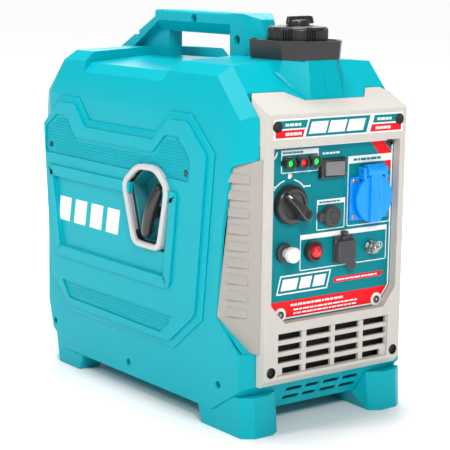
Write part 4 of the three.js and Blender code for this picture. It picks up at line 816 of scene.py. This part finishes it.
def dial():
    centre = (-57, 236)
    disc = lathe([(0, -198.2), (11.6, -198.2), (12.2, -197.4), (13.4, -197.4), (14, -198.6), (16.6, -198.9),
                  (18.4, -198.2), (19.6, -196.6), (20, -194.6), (20, -190.4), (0, -190.4)], "y", centre, 96)
    along = Vector((1, -1)).normalized()
    aside = Vector((1, 1)).normalized()

    def at(length, offset, y):
        spot = Vector(centre) + along * length + aside * offset
        return (spot[0], y, spot[1])

    bar = hull([at(-18.4, 3.2, -198), at(-18.4, -3.2, -198), at(-17, 2.2, -204), at(-17, -2.2, -204),
                at(-6, 5.6, -198), at(-6, -5.6, -198), at(-4, 3.6, -209.5), at(-4, -3.6, -209.5),
                at(15, 7, -197), at(15, -7, -197), at(14, 6, -211.4), at(14, -6, -211.4),
                at(19.6, 5, -197.6), at(19.6, -5, -197.6), at(18.8, 4, -210.8), at(18.8, -4, -210.8)],
               1.1, 3)
    as_piece("dial_body", joined(disc, bar), "gloss", "engine_dial", ["engine_dial"])
    spot = Vector(centre) + along * 12
    # painted shade: a dark disc on the face of the bar, standing in for the shade inside its hole
    bore_shade = lathe([(0, -211.7), (3.2, -211.75), (3.6, -211.4), (3.6, -205), (0, -205)], "y", tuple(spot), 32)
    as_piece("dial_bore", bore_shade, "dark", "engine_dial")
    mark = hull([at(-16.4, 0.6, -204.5), at(-16.4, -0.6, -204.5), at(-12.6, 0.7, -206.1),
                 at(-12.6, -0.7, -206.1), at(-16.4, 0.6, -203), at(-16.4, -0.6, -203),
                 at(-12.6, 0.7, -204.6), at(-12.6, -0.7, -204.6)], 0.1)
    as_piece("dial_pointer", mark, "white_print", "engine_dial")


def small_controls():
    knob_at = (-63, 187.6)
    button_at = (-25.4, 185.6)
    base = lathe([(5.3, -195.3), (8.6, -195.3), (10, -194), (10, -190.3), (5.3, -190.3)],
                 "y", knob_at, 48)
    as_piece("knob_base", base, "rubber", "root", ["push_knob_base"])
    knob = lathe([(0, -209.2), (6.2, -209.2), (7.8, -208), (8, -206.8), (8, -202.4), (7.6, -201.6),
                  (5, -201.4), (5, -182.3), (0, -182.3)], "y", knob_at, 64)
    as_piece("knob_cap", knob, "white", "push_knob", ["push_knob"])
    collar = lathe([(6.9, -196.3), (8.4, -197.4), (10, -197), (11, -195.6), (11, -190.3), (6.9, -190.3)],
                   "y", button_at, 64)
    as_piece("button_ring", collar, "gloss", "root", ["button_collar"])
    dome = lathe([(0, -202.4), (2.2, -202.1), (4.2, -201), (5.7, -199.2), (6.5, -196.8), (6.6, -194.5),
                  (6.6, -182.3), (0, -182.3)], "y", button_at, 64)
    as_piece("button_dome", dome, "red", "red_button", ["red_button"])
    refined("rocker_housing", 0.8, "black")
    refined("rocker_switch", 0.6, "grey")


def outlets():
    mid = (50, 234.7)
    board = softened(plate(rounded(23, 77, 212, 257.4, 2.5), "y", -193.3, -190.3), 0.7)
    ring = lathe([(19.2, -197.3), (21.4, -197.3), (22, -196.7), (22, -191), (19.2, -191)], "y", mid, 72)
    yoke = [block(x0, x1, -202, -191, 255, 267.4, 1.2) for x0, x1 in ((33.4, 37.3), (62.7, 66.6))]
    as_piece("outlet_board", joined(board, ring, *yoke), "blue", "root", ["ac_flange"])
    disc = lathe([(0, -200.8), (23.4, -200.8), (24.6, -200.4), (25, -199.4), (25, -197.6), (0, -197.6)],
                 "y", mid, 72)
    bar = block(42.6, 57.4, -203.8, -198.4, 209.6, 262, 1.3)
    barrel = lathe([(0, 37.6), (5.2, 37.6), (5.9, 38.4), (5.9, 61.6), (5.2, 62.4), (0, 62.4)], "x",
                   (-199.3, 264.2), 48)
    as_piece("outlet_flap", joined(disc, bar, barrel), "blue", "ac_flap", ["ac_flap"])
    pin = lathe([(0, 32.6), (1.5, 32.6), (1.5, 67.4), (0, 67.4)], "x", (-199.3, 264.2), 24)
    as_piece("flap_pin", pin, "steel", "root", ["ac_hinge_pin"])
    emblem = strip(ring_outline(5.2, (50, 236)), 0.6, "y", -204.1, -203.7)
    as_piece("flap_emblem", emblem, "blue", "ac_flap")
    cap = lathe([(0, -197.9), (2.6, -197.9), (3.0, -198.5), (4.2, -198.5), (4.6, -197.7), (7.4, -197.5),
                 (7.8, -198.3), (9.6, -198.3), (10.7, -197.4), (11, -196.2), (11, -193.6), (0, -193.6)],
                "y", (-3.6, 220), 72)
    lug = block(-20.1, -12, -196.1, -193.6, 216, 224, 0.6)
    as_piece("dc_cap", joined(cap, lug), "rubber", "dc_cover", ["dc_cover"])
    refined("dc_socket", 0.4, "rubber")
    refined("usb_socket", 0.4, "rubber")
    lid = hull([(x, y, z) for x, z in rounded(2.9, 28.5, 170.2, 193.8, 3.5) for y in (-193.6, -196.2)]
               + [(x, -199.4, z) for x, z in rounded(4.2, 27.2, 171.5, 192.5, 3)])
    pad = plate(rounded(6.4, 25, 173.7, 190.3, 2.2), "y", -199.6, -199.2)
    strap = block(11.5, 19.9, -196, -193.6, 190, 197.8, 0.6)
    tab = block(12.6, 18.8, -196.4, -190.3, 198.8, 202.6, 0.8)
    as_piece("usb_tab", tab, "rubber", "root")
    ear = block(0.6, 4.4, -196.4, -194, 190.6, 195.4, 0.7)
    pull = plate([(13, 172), (27, 172), (28.6, 167.5), (27.6, 163.4), (24.4, 161.4), (20.6, 162.4),
                  (16, 167)], "y", -199.0, -196.8)
    as_piece("usb_lid", joined(softened(lid, 0.5), softened(pad, 0.25), strap, ear, softened(pull, 0.6)),
             "rubber", "usb_cover", ["usb_cover"])


def ground_stud():
    at = (54, 181.4)
    thread = [(3.0 if i % 2 else 2.5, -203.3 + i * 0.45) for i in range(18)]
    stud = lathe([(0, -203.5)] + thread + [(2.6, -181.3), (0, -181.3)], "y", at, 32)
    washer = lathe([(2.6, -191.9), (6.8, -191.9), (7, -191.6), (7, -190.3), (2.6, -190.3)], "y", at, 48)
    nuts = [softened(lathe([(2.6, y0), (5.9, y0), (5.9, y1), (2.6, y1)], "y", at, 6), 0.4)
            for y0, y1 in ((-196.4, -192), (-200.8, -197.6))]
    ring = lathe([(2.6, -197.5), (6.4, -197.5), (6.6, -197.2), (6.4, -196.5), (2.6, -196.5)], "y", at, 48)
    as_piece("ground_stud", joined(stud, washer, ring, *nuts), "steel", "root", ["ground_terminal"])


CAP_CENTRE = (0, -130)


def fuel_cap():
    """The fuel cap: plain lobes between groups of narrow grooves."""
    bm = bmesh.new()
    steps = 288
    profile = [(-2.0, 391.2), (0, 392.4), (0, 405.4), (-0.5, 407.2), (-1.8, 408.6), (-3.6, 409.2),
               (-8, 409.4), (-9.4, 410), (-18, 410)]
    rings = []
    for offset, z in profile:
        ring = []
        for i in range(steps):
            phase = i % 36
            groove = 18 <= phase < 34 and (phase - 18) % 4 < 2
            depth = 1.3 if groove else 0.0
            fade = max(0.0, min(1.0, (8 + offset) / 5))
            radius = 31.5 + offset - depth * fade
            angle = math.tau * i / steps
            ring.append(bm.verts.new(PLACE["z"](z, CAP_CENTRE[0] + radius * math.cos(angle),
                                                CAP_CENTRE[1] + radius * math.sin(angle))))
        rings.append(ring)
    skinned(bm, rings)
    bm.faces.new(rings[0])
    bm.faces.new(rings[-1])
    as_piece("fuel_cap_body", closed(bm), "black", "fuel_cap", ["fuel_cap"], smooth=32)


def vent_knob():
    """A round foot with a hooked bar across it."""
    disc = lathe([(0, 416.4), (9.6, 416.4), (11.4, 415.6), (12.2, 414.2), (12.2, 410.5), (4, 410.4),
                  (4, 406.4), (0, 406.4)], "z", CAP_CENTRE, 64)
    grip = hull([(-15, -132.6, 412), (-15, -127.4, 412), (14, -134.8, 412), (20.4, -132, 412),
                 (20.4, -124.6, 412), (13, -125, 412), (-14, -131.6, 419.6), (-14, -128.4, 419.6),
                 (13, -133, 420.2), (19, -131, 419.4), (19, -126, 419.4), (12, -126.4, 420.2)], 0.9, 3)
    as_piece("vent_knob_body", joined(disc, grip), "gloss", "vent_knob", ["vent_knob"])


ROPE_AXIS = (-32, 210)


def starter():
    """The recess, its ring and the painted shade in the gap round the ring, the grip and its rope; returns
    the rope.
    """
    ring = strip(eased(inset(STARTER_RING, 0.4), 12), 6.6, "x", -121.6, -111.2)
    as_piece("starter_ring", softened(ring, 2.0, segments=4), "silver", "root",
             ["starter_bezel"])
    refined("starter_well", 1.0, "well")
    # painted shade: a dark band in the gap between the ring and the cover face
    gap_shade = strip(eased(inset(STARTER_RING, -3.4), 13), 3.6, "x", -117.4, -112)
    as_piece("starter_gasket", softened(gap_shade, 0.3), "dark", "root")
    stem = lathe([(0, -114), (8.4, -114), (7, -110), (6.2, -106), (6.4, -101.8), (0, -101.6)],
                 "x", ROPE_AXIS, 48)
    as_piece("grip_body", joined(grip_shape(), stem), "gloss", "starter_grip",
             ["starter_grip"])
    guide = hull([(x, y, z) for x in (-103, -95.5)
                  for y, z in ((-54, 203), (-46, 206), (-45, 191), (-50, 188), (-55, 193))], 0.8)
    as_piece("guide_plate", guide, "grey", "root")
    length = [(2.5, -101.6 + i * 0.9) for i in range(23)]
    rope = lathe([(0, -102.2)] + length + [(0, -81.2)], "x", ROPE_AXIS, 20)
    return as_piece("starter_cord", rope, "rope", None, ["starter_rope"])


def grip_shape():
    """A bowed bar with round ends, swept along a curve."""
    start, bend, end = (Vector(p) for p in ((-115.5, -23, 183), (-120, -32, 213), (-110, -44, 241)))
    bm = bmesh.new()
    rings = []
    steps, sides = 40, 32
    for i in range(steps + 1):
        t = (1 - math.cos(math.pi * i / steps)) / 2
        spot = start * (1 - t) ** 2 + bend * 2 * t * (1 - t) + end * t ** 2
        ahead = ((bend - start) * (1 - t) + (end - bend) * t).normalized()
        aside = ahead.cross(Vector((1, 0, 0))).normalized()
        out = aside.cross(ahead)
        edge = min(t, 1 - t) * 62 / 5
        swell = math.sqrt(max(0.02, 1 - (1 - min(1, edge)) ** 2)) * (0.92 + 0.16 * math.sin(math.pi * t))
        rings.append([bm.verts.new((spot + aside * 6.8 * swell * math.cos(math.tau * k / sides)
                                    + out * 5.9 * swell * math.sin(math.tau * k / sides)) * MM)
                      for k in range(sides)])
    skinned(bm, rings)
    bm.faces.new(rings[0])
    bm.faces.new(rings[-1])
    return closed(bm)


def carried_nodes():
    """The rest of the frame keeps its own solids and takes a detailed finish."""
    for node, slot in NODE_SLOT.items():
        piece = frame["nodes"][node]
        piece.data.materials.clear()
        piece.data.materials.append(PAINT[SLOT_PAINT[slot]])


def make_floor():
    bm = bmesh.new()
    bmesh.ops.create_grid(bm, x_segments=1, y_segments=1, size=60)
    mesh = bpy.data.meshes.new("floor")
    bm.to_mesh(mesh)
    bm.free()
    mesh.materials.append(PAINT["floor"])
    floor = plain_object("floor", mesh)


make_camera()
make_studio()
PAINT = make_materials()
REPEAT = repeat_tree()
SLOT_PAINT = {
    "casing": "casing", "bezel_plastic": "bezel", "louvre_plastic": "louvre", "panel_plastic": "panel",
    "black_plastic": "black", "grey_plastic": "grey", "silver_plastic": "silver",
    "white_plastic": "white", "red_plastic": "red", "blue_plastic": "blue", "green_lens": "green_lens",
    "red_lens": "red_lens", "rubber": "rubber", "steel": "steel", "cast_aluminium": "aluminium",
    "tank_plastic": "tank", "rope": "rope",
}
NODE_BODY = {n: b for b, ns in frame["record"]["behaviour"]["bodies"].items() for n in ns}
NODE_SLOT = {part["node"]: part["material_slot"] for part in frame["record"]["subparts"]}
carried_nodes()
make_floor()
casing_pieces()
for side, name in SIDES:
    cover_texture(side, name)
louvre_hoods()
screws()
grille_screen()
louvre_sills()
cover_faces()
panel_prints()
nameplate_prints()
cover_mark()
lamps()
dial()
small_controls()
outlets()
ground_stud()
fuel_cap()
vent_knob()
cord = starter()
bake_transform(cord)
